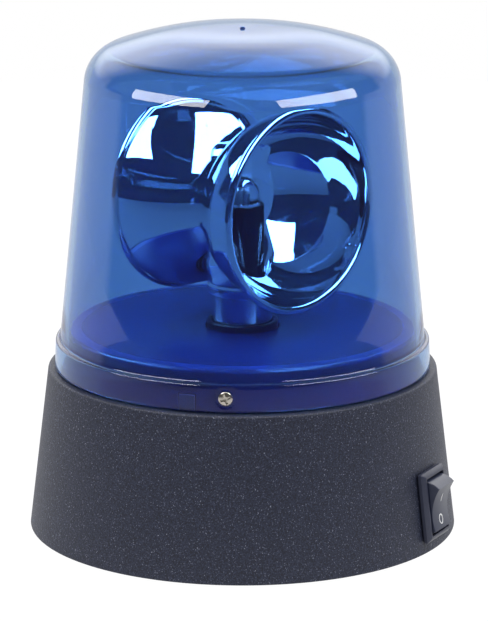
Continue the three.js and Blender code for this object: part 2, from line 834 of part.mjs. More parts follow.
// Chassis plate with its holes
function chassisPlate() {
  const circles = [
    { x: 0, y: 0, radius: chassisHubLobeRadius },
    { x: idlerPlace.x, y: idlerPlace.y, radius: chassisIdlerLobeRadius },
    { x: motorPlace.x, y: motorPlace.y, radius: chassisMotorLobeRadius },
    ...chassisPosts.map((p) => ({ x: p.x, y: p.y, radius: chassisLobeRadius })),
  ];
  const plate = prism(outlineRound(circles, chassisEdgeFacets), chassisBottom, chassisThickness);
  const hole = (place, radius, facets) => post(
    radius, radius, chassisBottom - cutOverrun, chassisThickness + 2 * cutOverrun, facets,
  ).translate(place.x, place.y, 0);
  const tools = [
    hole(at(0, 0), postRadius + fitGap, tubeFacets),
    hole(idlerPlace, idlerPinRadius + seatGap, smallFacets),
    hole(motorPlace, motorBossRadius + fitGap, smallFacets),
    ...chassisPosts.map((p) => hole(p, chassisScrewShankRadius + seatGap, smallFacets)),
    ...motorScrewPlaces().map((p) => hole(p, motorScrewShankRadius + seatGap, smallFacets)),
  ];
  return cut(plate, ...tools);
}

// Places of the two motor screws in the chassis frame
function motorScrewPlaces() {
  const places = [];
  for (let i = 0; i < motorScrewCount; i += 1) {
    const angle = radians(motorAngle + 90) + 2 * Math.PI * i / motorScrewCount;
    places.push(at(
      motorPlace.x + motorScrewCircle * Math.cos(angle),
      motorPlace.y + motorScrewCircle * Math.sin(angle),
    ));
  }
  return places;
}

// Motor can, open below, with the bearing boss and the screw holes on top
function motorCan() {
  const top = chassisBottom - seatGap;
  const foot = top - motorHeight;
  const edge = motorEdgeRadius;
  const shell = revolve([
    at(0, top + motorBossHeight),
    at(motorBossRadius, top + motorBossHeight),
    at(motorBossRadius, top),
    ...arc(motorRadius - edge, top - edge, edge, 90, 0, edgeSteps),
    at(motorRadius, foot),
    at(motorRadius - motorWall, foot),
    at(motorRadius - motorWall, top - motorWall),
    at(0, top - motorWall),
  ], tubeFacets);
  const bore = motorShaftRadius + seatGap;
  const shaftHole = post(bore, bore, foot, motorHeight + motorBossHeight + cutOverrun, smallFacets);
  const screwBore = motorScrewShankRadius + seatGap;
  const holes = motorScrewPlaces().map((p) => post(
    screwBore, screwBore, top - motorWall - cutOverrun, motorWall + 2 * cutOverrun, smallFacets,
  ).translate(p.x - motorPlace.x, p.y - motorPlace.y, 0));
  return cut(shell, shaftHole, ...holes);
}

// Motor end cap with the two solder tags
function motorCap() {
  const foot = chassisBottom - seatGap - motorHeight;
  const radius = motorRadius - motorWall - fitGap;
  const bore = motorShaftRadius + seatGap;
  const plate = post(radius, radius, foot, motorCapThickness, tubeFacets);
  const tag = block(
    motorTerminalCircle, motorTerminalCircle + motorTerminalThickness,
    -motorTerminalWidth / 2, motorTerminalWidth / 2,
    foot - motorTerminalLength, foot + motorCapThickness / 2,
  );
  const hole = post(bore, bore, foot - cutOverrun, motorCapThickness + 2 * cutOverrun, smallFacets);
  return cut(join(plate, tag, tag.clone().rotateZ(Math.PI)), hole);
}

function motorShaft() {
  const foot = chassisBottom - seatGap - motorHeight;
  const top = chassisTop + seatGap + pinionThickness;
  return post(motorShaftRadius, motorShaftRadius, foot, top - foot, smallFacets);
}

function motorPinion() {
  const foot = chassisTop + seatGap;
  const bore = motorShaftRadius + seatGap;
  const gear = prism(gearOutline(pinionTeeth, idlerWheelModule), foot, pinionThickness);
  return cut(gear, post(bore, bore, foot - cutOverrun, pinionThickness + 2 * cutOverrun, smallFacets));
}

// Lamp post, a tube with a flange under the chassis
function lampPost() {
  const seat = postTop - ledSeatDepth;
  return revolve([
    at(postBore, postBottom),
    at(postRadius, postBottom),
    at(postRadius, postFlangeTop - postFlangeThickness),
    at(postFlangeRadius, postFlangeTop - postFlangeThickness),
    at(postFlangeRadius, postFlangeTop),
    at(postRadius, postFlangeTop),
    at(postRadius, postTop),
    at(ledFlangeRadius + seatGap, postTop),
    at(ledFlangeRadius + seatGap, seat),
    at(postBore, seat),
  ], tubeFacets);
}

// Clear lamp with its flange and round top
function led() {
  const foot = postTop - ledSeatDepth + seatGap;
  return revolve([
    at(0, foot),
    at(ledFlangeRadius, foot),
    at(ledFlangeRadius, foot + ledFlangeHeight),
    at(ledRadius, foot + ledFlangeHeight),
    ...arc(0, foot + ledHeight - ledRadius, ledRadius, 0, 90, lipSteps),
  ], plainFacets);
}

function ledLeg(length, side) {
  const top = postTop - ledSeatDepth;
  const half = ledLegSide / 2;
  const x = side * ledLegSpread / 2;
  return block(x - half, x + half, -half, half, top - length, top);
}

// Bottom cover with the battery bay, its door opening and the screw wells
function bottomCover() {
  const rimOuter = coverRadius - coverRimInset;
  const plate = revolve([
    at(0, coverBottom),
    at(coverRadius, coverBottom),
    at(coverRadius, coverTop),
    at(rimOuter, coverTop),
    at(rimOuter, coverTop + coverRimHeight),
    at(rimOuter - coverRimWall, coverTop + coverRimHeight),
    at(rimOuter - coverRimWall, coverTop),
    at(0, coverTop),
  ], bodyFacets);
  const bayTurn = azimuthTurn(bayAzimuth);
  const bayOuter = block(
    -bayHalfLength - bayWall, bayHalfLength + bayWall,
    -bayHalfWidth - bayWall, bayHalfWidth + bayWall,
    coverBottom, bayTop,
  );
  const bayInner = block(
    -bayHalfLength, bayHalfLength,
    -bayHalfWidth, bayHalfWidth,
    coverTop, bayTop - bayWall,
  );
  const doorOpening = block(
    -doorHalfLength - fitGap, doorHalfLength + fitGap,
    -doorHalfWidth - fitGap, doorHalfWidth + fitGap,
    coverBottom - cutOverrun, coverTop + cutOverrun,
  );
  const pinHole = doorPinRadius + doorPinGap;
  const pinRun = 2 * (doorHalfWidth + fitGap + doorPinLength);
  const hingeHole = new THREE.CylinderGeometry(pinHole, pinHole, pinRun, smallFacets)
    .translate(-doorHalfLength + doorThickness / 2, 0, doorBottom + doorThickness / 2);
  const tabNotch = block(
    doorHalfLength, doorHalfLength + fitGap + doorTabReach,
    -doorFingerWidth / 2 - fitGap, doorFingerWidth / 2 + fitGap,
    coverBottom - cutOverrun, doorBottom + doorThickness,
  );
  const bodies = [plate, bayOuter.rotateZ(bayTurn)];
  const tools = [bayInner, doorOpening, hingeHole, tabNotch].map((tool) => tool.rotateZ(bayTurn));
  for (const azimuth of coverPostAzimuths) {
    const angle = azimuthTurn(azimuth);
    const [x, y] = [coverPostCircle * Math.cos(angle), coverPostCircle * Math.sin(angle)];
    const bore = coverScrewShankRadius + seatGap;
    const head = coverScrewHeadRadius + seatGap;
    const wall = head + coverWellWall;
    const below = coverBottom - cutOverrun;
    bodies.push(post(wall, wall, coverBottom, coverWellTop - coverBottom, plainFacets).translate(x, y, 0));
    tools.push(post(bore, bore, below, coverWellTop + cutOverrun - below, smallFacets).translate(x, y, 0));
    tools.push(post(head, head, below, coverScrewSeat - below, plainFacets).translate(x, y, 0));
  }
  const switchNotch = block(
    coverRadius - switchBodyDepth, coverRadius + cutOverrun,
    -switchBodyWidth / 2 - cutOverrun, switchBodyWidth / 2 + cutOverrun,
    coverTop, coverTop + coverRimHeight + cutOverrun,
  );
  tools.push(switchNotch.rotateZ(azimuthTurn(switchAzimuth)));
  for (const azimuth of footAzimuths) {
    const angle = azimuthTurn(azimuth);
    const [x, y] = [footCircle * Math.cos(angle), footCircle * Math.sin(angle)];
    const seat = footRadius + seatGap;
    tools.push(post(seat, seat, coverBottom - cutOverrun, footSeatDepth + cutOverrun, plainFacets)
      .translate(x, y, 0));
  }
  return cut(join(...bodies), ...tools);
}

// Battery door, hinged at its round end, with its snap finger at the other
function batteryDoor() {
  const half = doorThickness / 2;
  const outline = [
    at(doorHalfLength, doorBottom),
    at(doorHalfLength, doorBottom + doorThickness),
    ...arc(-doorHalfLength + half, doorBottom + half, half, 90, 270, curveSteps),
  ];
  const plate = new THREE.ExtrudeGeometry(new THREE.Shape(outline), {
    depth: 2 * doorHalfWidth, bevelEnabled: false,
  }).translate(0, 0, -doorHalfWidth).rotateX(Math.PI / 2);
  const pinRun = 2 * (doorHalfWidth + doorPinLength - seatGap);
  const pin = new THREE.CylinderGeometry(doorPinRadius, doorPinRadius, pinRun, smallFacets)
    .translate(-doorHalfLength + half, 0, doorBottom + half);
  const tab = block(
    doorHalfLength - fitGap, doorHalfLength + doorTabReach,
    -doorFingerWidth / 2, doorFingerWidth / 2,
    doorBottom, doorBottom + doorThickness - seatGap,
  );
  const slotSide = doorFingerWidth / 2;
  const slots = [-1, 1].map((side) => block(
    doorHalfLength - doorFingerLength, doorHalfLength + cutOverrun,
    side * (slotSide + doorFingerSlot / 2) - doorFingerSlot / 2,
    side * (slotSide + doorFingerSlot / 2) + doorFingerSlot / 2,
    doorBottom - cutOverrun, doorBottom + doorThickness + cutOverrun,
  ));
  const grips = [];
  for (let i = 0; i < doorGripCount; i += 1) {
    const x = doorHalfLength - doorGripPitch * i;
    grips.push(block(
      x - doorGripLength / 2, x + doorGripLength / 2,
      -doorGripWidth / 2, doorGripWidth / 2,
      doorBottom - cutOverrun, doorBottom + doorGripDepth,
    ));
  }
  return cut(join(plate, pin, tab), ...slots, ...grips).rotateZ(azimuthTurn(bayAzimuth));
}

// Rubber foot, its lower face on the table
function foot() {
  return revolve([
    at(0, 0),
    ...arc(footRadius - footEdgeRadius, footEdgeRadius, footEdgeRadius, -90, 0, chamferSteps),
    at(footRadius, footProud + footSeatDepth - seatGap),
    at(0, footProud + footSeatDepth - seatGap),
  ], plainFacets);
}

// Dry cell lying along X with its nub at +X
function cell() {
  const half = (cellLength + cellNubHeight) / 2;
  const edge = cellEdgeRadius;
  return revolve([
    at(0, -half),
    ...arc(cellRadius - edge, -half + edge, edge, -90, 0, chamferSteps),
    ...arc(cellRadius - edge, half - cellNubHeight - edge, edge, 0, 90, chamferSteps),
    at(cellNubRadius, half - cellNubHeight),
    at(cellNubRadius, half),
    at(0, half),
  ], plainFacets).rotateY(Math.PI / 2).translate(0, 0, cellAxisHeight);
}

// Contact plate at one end of the bay, with a bowed leaf toward each cell it serves
function contactPlate(end, lanes) {
  const face = bayHalfLength - seatGap;
  const centres = lanes.map((lane) => (lane - (cellCount - 1) / 2) * cellPitch);
  const low = Math.min(...centres) - contactWidth / 2;
  const high = Math.max(...centres) + contactWidth / 2;
  const foot = cellAxisHeight - contactHeight / 2;
  const plate = block(face - contactThickness, face, low, high, foot, foot + contactHeight);
  const leafRun = contactLeafHeight / 2;
  const leaf = (centre) => new THREE.ExtrudeGeometry(new THREE.Shape([
    at(face - contactThickness / 2, -leafRun),
    at(face - contactThickness / 2, leafRun),
    at(face - contactThickness - contactLeafProud, contactThickness),
    at(face - contactThickness - contactLeafProud, -contactThickness),
  ]), { depth: contactWidth / 2, bevelEnabled: false })
    .rotateX(Math.PI / 2).translate(0, centre + contactWidth / 4, cellAxisHeight);
  const whole = join(plate, ...centres.map(leaf));
  return end > 0 ? whole : whole.rotateZ(Math.PI);
}

// Switch housing in its own frame: +X out of the wall, the wall's face at x = 0
function switchHousing() {
  const back = seatGap;
  const front = back + bezelThickness;
  const bezelOutline = (inset) => [
    at(-bezelWidth / 2 + inset, -bezelHeight / 2 + inset),
    at(bezelWidth / 2 - inset, -bezelHeight / 2 + inset),
    at(bezelWidth / 2 - inset, bezelHeight / 2 - inset),
    at(-bezelWidth / 2 + inset, bezelHeight / 2 - inset),
  ];
  const bezel = new THREE.ExtrudeGeometry(new THREE.Shape(bezelOutline(bezelBevel)), {
    depth: bezelThickness - bezelBevel,
    bevelEnabled: true,
    bevelSegments: 1,
    bevelThickness: bezelBevel,
    bevelSize: bezelBevel,
  }).rotateX(Math.PI / 2).rotateZ(Math.PI / 2).translate(back, 0, 0);
  const skirt = block(
    back - cutOverrun, front, -bezelWidth / 2 - cutOverrun, bezelWidth / 2 + cutOverrun,
    -bezelHeight / 2 - cutOverrun, bezelHeight / 2 + cutOverrun,
  ).translate(cutOverrun, 0, 0);
  const body = block(
    front - switchBodyDepth, front - bezelBevel,
    -switchBodyWidth / 2, switchBodyWidth / 2,
    -switchBodyHeight / 2, switchBodyHeight / 2,
  );
  const cavityWidth = rockerWidth / 2 + rockerSideGap;
  const cavityHeight = rockerRadius + fitGap;
  const cavity = block(
    front - switchBodyDepth + switchBodyBack, front + cutOverrun,
    -cavityWidth, cavityWidth, -cavityHeight, cavityHeight,
  );
  const pinHole = rockerPinRadius + rockerPinGap;
  const socket = new THREE.CylinderGeometry(pinHole, pinHole, switchBodyWidth + cutOverrun, smallFacets)
    .translate(front - rockerPivotDepth, 0, 0);
  const barbs = [-1, 1].map((side) => new THREE.ExtrudeGeometry(new THREE.Shape([
    at(back - baseWall - fitGap * 2, switchBodyHeight / 2 - fitGap),
    at(back - baseWall - fitGap * 2, switchBodyHeight / 2 + switchBarbReach),
    at(back - baseWall - fitGap * 2 - switchBarbLength, switchBodyHeight / 2 - fitGap),
  ].map((p) => at(p.x, side * p.y))), { depth: switchBarbWidth, bevelEnabled: false })
    .rotateX(Math.PI / 2).translate(0, switchBarbWidth / 2, 0));
  const slots = [-1, 1].map((side) => terminalSlot(side));
  return cut(join(common(bezel, skirt), body, ...barbs), cavity, socket, ...slots);
}

// Opening in the back of the switch for one terminal
function terminalSlot(side) {
  const front = seatGap + bezelThickness;
  const z = side * terminalSpread;
  return block(
    front - switchBodyDepth - cutOverrun, front - switchBodyDepth + switchBodyBack + cutOverrun,
    -terminalWidth / 2 - seatGap, terminalWidth / 2 + seatGap,
    z - terminalThickness / 2 - seatGap, z + terminalThickness / 2 + seatGap,
  );
}

function switchTerminal(side) {
  const front = seatGap + bezelThickness;
  const z = side * terminalSpread;
  const inner = front - switchBodyDepth + 2 * switchBodyBack;
  const blade = block(
    inner - terminalLength, inner,
    -terminalWidth / 2, terminalWidth / 2,
    z - terminalThickness / 2, z + terminalThickness / 2,
  );
  const hole = post(
    terminalHoleRadius, terminalHoleRadius, z - cutOverrun, 2 * cutOverrun, smallFacets,
  ).translate(inner - terminalLength + terminalWidth / 2, 0, 0);
  return cut(blade, hole);
}

// Rocker in the switch's frame, drawn level and then tipped to its off place
function rocker() {
  const tilt = radians(rockerThrow / 2);
  const rise = rockerPivotDepth + rockerFaceRise;
  const endAngle = (x) => THREE.MathUtils.radToDeg(Math.acos(x / rockerRadius));
  const faceEnd = rise + rockerRadius * Math.sin(tilt);
  const topAngle = endAngle(faceEnd);
  const footAngle = endAngle(-rockerWebDepth);
  const outline = [
    at(rise, 0),
    ...arc(0, 0, rockerRadius, topAngle, footAngle, lipSteps),
    at(-rockerNoseDepth, rockerNoseHeight / 2),
    at(-rockerNoseDepth, -rockerNoseHeight / 2),
    ...arc(0, 0, rockerRadius, -footAngle, -topAngle, lipSteps),
  ];
  const key = new THREE.ExtrudeGeometry(new THREE.Shape(outline), {
    depth: rockerWidth, bevelEnabled: false,
  }).rotateX(Math.PI / 2).translate(0, rockerWidth / 2, 0);
  const pinRun = rockerWidth + 2 * rockerPinLength;
  const pin = new THREE.CylinderGeometry(rockerPinRadius, rockerPinRadius, pinRun, smallFacets);
  const front = seatGap + bezelThickness;
  return join(key, pin).rotateY(tilt).translate(front - rockerPivotDepth, 0, 0);
}

// Fixed pieces of the base
addPiece(lamp, 'base_housing', baseHousing(), erodedBlack);
addPiece(lamp, 'bottom_cover', bottomCover(), blackMoulded);
addPiece(lamp, 'battery_door', batteryDoor(), blackMoulded);
addPiece(lamp, 'dome', dome(), clearBlue);

for (let i = 0; i < domeScrewCount; i += 1) {
  const spoke = addTurned(lamp, azimuthTurn(domeScrewAzimuth + 360 * i / domeScrewCount));
  const shape = screw(
    domeScrewHeadRadius, domeScrewHeadHeight, domeScrewShankRadius,
    domeScrewLength - seatGap, domeScrewPointLength,
  );
  const piece = addPiece(spoke, `dome_screw_${i + 1}`, shape, platedSteel);
  piece.rotation.y = Math.PI / 2;
  piece.position.set(domeScrewSeat + seatGap, 0, domeScrewHeight);
}

coverPostAzimuths.forEach((azimuth, i) => {
  const spoke = addTurned(lamp, azimuthTurn(azimuth));
  const shape = screw(
    coverScrewHeadRadius, coverScrewHeadHeight, coverScrewShankRadius,
    coverScrewLength, coverScrewPointLength,
  );
  const piece = addPiece(spoke, `cover_screw_${i + 1}`, shape, platedSteel);
  piece.rotation.x = Math.PI;
  piece.position.set(coverPostCircle, 0, coverScrewSeat - seatGap);
});

footAzimuths.forEach((azimuth, i) => {
  const spoke = addTurned(lamp, azimuthTurn(azimuth));
  addPiece(spoke, `rubber_foot_${i + 1}`, foot(), rubber).position.x = footCircle;
});

// Cells and contacts
const bay = addTurned(lamp, azimuthTurn(bayAzimuth));
for (let i = 0; i < cellCount; i += 1) {
  const piece = addPiece(bay, `battery_cell_${i + 1}`, cell(), cellSleeve);
  piece.position.y = (i - (cellCount - 1) / 2) * cellPitch;
  piece.rotation.z = i % 2 ? Math.PI : 0;
}
addPiece(bay, 'contact_positive', contactPlate(1, [0]), platedSteel);
addPiece(bay, 'contact_bridge_front', contactPlate(1, [1, 2]), platedSteel);
addPiece(bay, 'contact_bridge_rear', contactPlate(-1, [1, 2]), platedSteel);
addPiece(bay, 'contact_negative', contactPlate(-1, [0]), platedSteel);

// Rocker switch, leaning with the wall
const switchSpoke = addTurned(lamp, azimuthTurn(switchAzimuth));
const switchSeat = new THREE.Group();
switchSeat.position.set(switchWallRadius, 0, switchHeight);
switchSeat.rotation.y = -baseLeanAngle;
switchSpoke.add(switchSeat);
addPiece(switchSeat, 'switch_housing', switchHousing(), blackMoulded);
addPiece(switchSeat, 'switch_rocker', rocker(), blackGlossy);
addPiece(switchSeat, 'switch_terminal_upper', switchTerminal(1), brass);
addPiece(switchSeat, 'switch_terminal_lower', switchTerminal(-1), brass);

// Lamp post and rotor on the lamp's axis
addPiece(lamp, 'lamp_post', lampPost(), blackGlossy);
addPiece(lamp, 'led', led(), clearEpoxy);
addPiece(lamp, 'led_leg_anode', ledLeg(ledAnodeLength, 1), platedSteel);
addPiece(lamp, 'led_leg_cathode', ledLeg(ledCathodeLength, -1), platedSteel);
addPiece(lamp, 'reflector', reflector(), metallised);
const rotorTurn = addTurned(lamp, radians(mechanismTurn + idlerAngle));
addPiece(rotorTurn, 'rotor_gear', rotorGear(), blackMoulded);

const washer = revolve([
  at(rotorBore, washerBottom),
  at(washerRadius, washerBottom),
  at(washerRadius, washerBottom + washerThickness),
  at(rotorBore, washerBottom + washerThickness),
], plainFacets);
addPiece(lamp, 'thrust_washer', washer, platedSteel);

// Gear train, motor and chassis
const mechanism = addTurned(lamp, radians(mechanismTurn));
addPiece(mechanism, 'chassis_plate', chassisPlate(), blackMoulded);
const idlerSeat = addTurned(mechanism, radians(idlerAngle) + Math.PI);
idlerSeat.position.set(idlerPlace.x, idlerPlace.y, 0);
addPiece(idlerSeat, 'idler_gear', idlerGear(), whiteGear).rotation.z = Math.PI / idlerPinionTeeth;
addPiece(idlerSeat, 'idler_pin', idlerPin(), platedSteel);
const motorSeat = new THREE.Group();
motorSeat.position.set(motorPlace.x, motorPlace.y, 0);
mechanism.add(motorSeat);
addPiece(motorSeat, 'motor_can', motorCan(), platedSteel);
addPiece(motorSeat, 'motor_cap', motorCap(), whiteGear);
addPiece(motorSeat, 'motor_shaft', motorShaft(), platedSteel);
const wheelPhase = idlerAngle + 180 + 180 / idlerPinionTeeth - motorAngle;
const pinionPhase = motorAngle + 180 - wheelPhase * idlerWheelTeeth / pinionTeeth + 180 / pinionTeeth;
addPiece(motorSeat, 'motor_pinion', motorPinion(), brass).rotation.z = radians(pinionPhase);

motorScrewPlaces().forEach((place, i) => {
  const shape = screw(
    motorScrewHeadRadius, motorScrewHeadHeight, motorScrewShankRadius, motorScrewLength, 0,
  );
  const piece = addPiece(mechanism, `motor_screw_${i + 1}`, shape, platedSteel);
  piece.position.set(place.x, place.y, chassisTop + seatGap);
});

chassisPosts.forEach((place, i) => {
  const shape = screw(
    chassisScrewHeadRadius, chassisScrewHeadHeight, chassisScrewShankRadius,
    chassisScrewLength, chassisScrewPointLength,
  );
  const piece = addPiece(mechanism, `chassis_screw_${i + 1}`, shape, platedSteel);
  piece.rotation.x = Math.PI;
  piece.position.set(place.x, place.y, chassisBottom - seatGap);
});

export default lamp;
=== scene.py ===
# Rotating beacon lamp: a clear blue dome over a metallised reflector, on a black base.
# All shapes are drawn in millimetres and turned into metres when a mesh is made.

import json
from math import acos, atan, atan2, cos, degrees, hypot, pi, radians, sin, sqrt, tan

import bmesh
import bpy
from mathutils import Matrix, Vector

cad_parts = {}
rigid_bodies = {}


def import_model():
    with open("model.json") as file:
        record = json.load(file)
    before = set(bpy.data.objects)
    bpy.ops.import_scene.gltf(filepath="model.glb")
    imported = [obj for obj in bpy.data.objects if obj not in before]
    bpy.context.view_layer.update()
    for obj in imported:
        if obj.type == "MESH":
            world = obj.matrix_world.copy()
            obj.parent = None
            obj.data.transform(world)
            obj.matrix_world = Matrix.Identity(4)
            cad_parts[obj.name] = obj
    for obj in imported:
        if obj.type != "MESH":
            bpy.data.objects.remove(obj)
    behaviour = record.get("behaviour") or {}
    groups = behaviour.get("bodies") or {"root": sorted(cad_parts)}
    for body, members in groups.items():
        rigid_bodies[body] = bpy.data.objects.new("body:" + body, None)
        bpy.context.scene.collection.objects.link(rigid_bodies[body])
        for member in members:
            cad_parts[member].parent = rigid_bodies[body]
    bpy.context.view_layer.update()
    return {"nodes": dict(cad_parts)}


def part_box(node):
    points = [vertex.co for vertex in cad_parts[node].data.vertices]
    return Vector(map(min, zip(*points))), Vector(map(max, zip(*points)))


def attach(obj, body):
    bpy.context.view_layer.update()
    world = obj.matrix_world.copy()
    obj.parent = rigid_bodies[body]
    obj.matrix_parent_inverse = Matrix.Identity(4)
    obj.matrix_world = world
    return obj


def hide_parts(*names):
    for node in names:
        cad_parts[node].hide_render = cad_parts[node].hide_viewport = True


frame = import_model()
metre = 0.001    # one millimetre in metres
weld = 0.0005    # points closer than this are one, in millimetres


# Where a node lies, in millimetres
def boxOf(node):
    low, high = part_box(node)
    return low / metre, high / metre


# Direction of an azimuth, which runs anticlockwise from -Y seen from above
def heading(azimuth):
    return Vector((sin(radians(azimuth)), -cos(radians(azimuth)), 0))


def addObject(name, data):
    obj = bpy.data.objects.new(name, data)
    bpy.context.scene.collection.objects.link(obj)
    return obj


# Camera, at the photograph's place
camera = {
    "azimuth": 45,
    "distance": 1113.0,
    "height": 352.9,
    "pitch": 14.46,
    "lens": 223.7,
    "sensor": 36,         # the picture's long side, on the film
    "clipStart": 0.01,
    "clipEnd": 50,
    "axisPixel": 242.5,   # where the lamp's axis stands in the frame
    "frameWidth": 488,
    "frameHeight": 621,
}


def addCamera():
    data = bpy.data.cameras.new("camera")
    data.lens = camera["lens"]
    data.sensor_width = camera["sensor"]
    data.shift_x = (camera["frameWidth"] / 2 - camera["axisPixel"]) / camera["frameHeight"]
    data.clip_start = camera["clipStart"]
    data.clip_end = camera["clipEnd"]
    obj = addObject("camera", data)
    away = heading(camera["azimuth"]) * camera["distance"]
    obj.location = (away + Vector((0, 0, camera["height"]))) * metre
    obj.rotation_euler = (radians(90 - camera["pitch"]), 0, radians(camera["azimuth"]))
    bpy.context.scene.camera = obj


addCamera()
print("camera placed")


# sRGB hex to the linear colour that the shaders use
def linear(hexColour, alpha=1.0):
    parts = [int(hexColour[i:i + 2], 16) / 255 for i in (1, 3, 5)]
    return [p / 12.92 if p <= 0.04045 else ((p + 0.055) / 1.055) ** 2.4 for p in parts] + [alpha]


# Adds a shader node with its settings and links: a value is set, a socket is linked
def addNode(tree, kind, settings=None, **inputs):
    node = tree.nodes.new("ShaderNode" + kind)
    for name, value in (settings or {}).items():
        setattr(node, name, value)
    for name, value in inputs.items():
        key = int(name[1:]) if name[0] == "_" and name[1:].isdigit() else name.replace("_", " ")
        if isinstance(value, bpy.types.NodeSocket):
            tree.links.new(value, node.inputs[key])
        else:
            node.inputs[key].default_value = value
    return node


# Starts a material with its Principled shader
def startMaterial(name, **values):
    made = bpy.data.materials.new(name)
    made.use_nodes = True
    tree = made.node_tree
    shader = tree.nodes["Principled BSDF"]
    for key, value in values.items():
        shader.inputs[key.replace("_", " ")].default_value = value
    return made, tree, shader


# Object coordinates in millimetres, so that a pattern's scale is one over its real size
def millimetres(tree):
    place = addNode(tree, "TexCoord")
    return addNode(tree, "VectorMath", {"operation": "SCALE"},
                   _0=place.outputs["Object"], Scale=1 / metre).outputs[0]


# Gives a surface two tones that a pattern mixes, and a relief of a real depth in millimetres
def dressSurface(tree, shader, pattern, tones, height, depth):
    mixed = addNode(tree, "ValToRGB", Fac=pattern)
    for element, tone in zip(mixed.color_ramp.elements, tones):
        element.color = tone
    tree.links.new(mixed.outputs["Color"], shader.inputs["Base Color"])
    bump = addNode(tree, "Bump", Strength=1.0, Distance=depth * metre, Height=height)
    tree.links.new(bump.outputs["Normal"], shader.inputs["Normal"])
    return mixed.color_ramp.elements


# Dresses a surface with one soft noise for its tones and its relief, grain and depth in millimetres
def grainSurface(tree, shader, look, tones):
    grain = addNode(tree, "TexNoise", Vector=millimetres(tree), Scale=1 / look["grain"],
                    Detail=look["detail"]).outputs["Fac"]
    dressSurface(tree, shader, grain, tones, grain, look["depth"])


# A colour made darker or paler by a share
def shaded(hexColour, share):
    return [min(1, share * part) for part in linear(hexColour)[:3]] + [1]


# Spark-eroded ABS: a cast of the eroded mould, matt, with fine pits; its glints are painted highlights, pale
# specks in its colour
erodedAbs = {
    "colour": "#1b1f2e", "pale": "#3a405a", "paintedGlint": "#b9bdc9",
    "colourTo": 0.42, "paleAt": 0.64, "paintedGlintFrom": 0.7,
    "grain": 0.42, "grainDetail": 3.0, "grainRoughness": 0.7, "pit": 0.9, "depth": 0.09,
    "ior": 1.53, "roughness": 0.5, "gloss": 0.45,
}


def erodedAbsPaintedGlints():
    made, tree, shader = startMaterial(
        "erodedAbsPaintedGlints", IOR=erodedAbs["ior"], Roughness=erodedAbs["roughness"],
        Specular_IOR_Level=erodedAbs["gloss"])
    place = millimetres(tree)
    grain = addNode(tree, "TexNoise", Vector=place, Scale=1 / erodedAbs["grain"],
                    Detail=erodedAbs["grainDetail"], Roughness=erodedAbs["grainRoughness"]).outputs["Fac"]
    pits = addNode(tree, "TexVoronoi", Vector=place, Scale=1 / erodedAbs["pit"])
    height = addNode(tree, "Math", {"operation": "ADD"},
                     _0=grain, _1=pits.outputs["Distance"]).outputs[0]
    # The brightest tone is a painted highlight: specks painted as glints
    tones = linear(erodedAbs["colour"]), linear(erodedAbs["paintedGlint"])
    stops = dressSurface(tree, shader, grain, tones, height, erodedAbs["depth"])
    stops[0].position = erodedAbs["colourTo"]
    stops[1].position = erodedAbs["paintedGlintFrom"]
    stops.new(erodedAbs["paleAt"]).color = linear(erodedAbs["pale"])
    return made


# Satin mouldings in ABS, polyamide, acetal or rubber: the polished side of a mould, with a slow
# waviness that softens each reflection
satin = {"ior": 1.53, "gloss": 0.5, "grain": 1.6, "detail": 2.0, "depth": 0.004, "paler": 1.35}


def satinMoulding(name, colour, roughness, gloss=satin["gloss"]):
    made, tree, shader = startMaterial(name, IOR=satin["ior"], Roughness=roughness, Specular_IOR_Level=gloss)
    grainSurface(tree, shader, satin, [linear(colour), shaded(colour, satin["paler"])])
    return made


# Clear blue SAN, polished: each wall takes its share of red and green, so the blue deepens with
# every wall looked through, and the dye scatters a little violet
blueSan = {
    "colour": "#88b5e5", "dye": "#5a46e6", "haze": 0.035, "thinner": 0.97,
    "ior": 1.49, "roughness": 0.0, "grain": 34.0, "detail": 1.0, "depth": 0.05,
}


def clearBlueSan():
    made, tree, shader = startMaterial(
        "clearBlueSan", IOR=blueSan["ior"], Roughness=blueSan["roughness"], Transmission_Weight=1.0)
    dye = addNode(tree, "BsdfDiffuse", Color=linear(blueSan["dye"]))
    hazed = addNode(tree, "MixShader", _0=blueSan["haze"], _1=shader.outputs[0], _2=dye.outputs[0])
    tree.links.new(hazed.outputs[0], tree.nodes["Material Output"].inputs["Surface"])
    tones = linear(blueSan["colour"]), shaded(blueSan["colour"], blueSan["thinner"])
    grainSurface(tree, shader, blueSan, tones)
    return made


# Vacuum-metallised ABS: a mirror of aluminium over a moulding whose skin is a little wavy
metallised = {
    "colour": "#eef1f6", "duller": 0.96, "roughness": 0.035,
    "ripple": 3.2, "rippleDetail": 2.0, "peel": 0.9, "peelDetail": 1.0, "peelShare": 0.18, "depth": 0.012,
}


def metallisedAbs():
    made, tree, shader = startMaterial("metallisedAbs", Metallic=1.0, Roughness=metallised["roughness"])
    place = millimetres(tree)
    ripple = addNode(tree, "TexNoise", Vector=place, Scale=1 / metallised["ripple"],
                     Detail=metallised["rippleDetail"]).outputs["Fac"]
    peel = addNode(tree, "TexNoise", Vector=place, Scale=1 / metallised["peel"],
                   Detail=metallised["peelDetail"]).outputs["Fac"]
    height = addNode(tree, "Math", {"operation": "MULTIPLY_ADD"},
                     _0=peel, _1=metallised["peelShare"], _2=ripple).outputs[0]
    tones = linear(metallised["colour"]), shaded(metallised["colour"], metallised["duller"])
    dressSurface(tree, shader, ripple, tones, height, metallised["depth"])
    return made


# Plated or bare metal: fine turning or drawing marks that spread its highlights
worked = {"grain": 0.25, "detail": 2.0, "depth": 0.003, "darker": 0.8}


def workedMetal(name, colour, roughness):
    made, tree, shader = startMaterial(name, Metallic=1.0, Roughness=roughness)
    grainSurface(tree, shader, worked, [shaded(colour, worked["darker"]), linear(colour)])
    return made


# Cast epoxy of the lamp: water clear, with the faint cloud of a casting
epoxy = {
    "colour": "#f2f6fb", "cloudy": "#e6eef8", "ior": 1.54, "roughness": 0.02,
    "grain": 2.5, "detail": 1.0, "depth": 0.01,
}


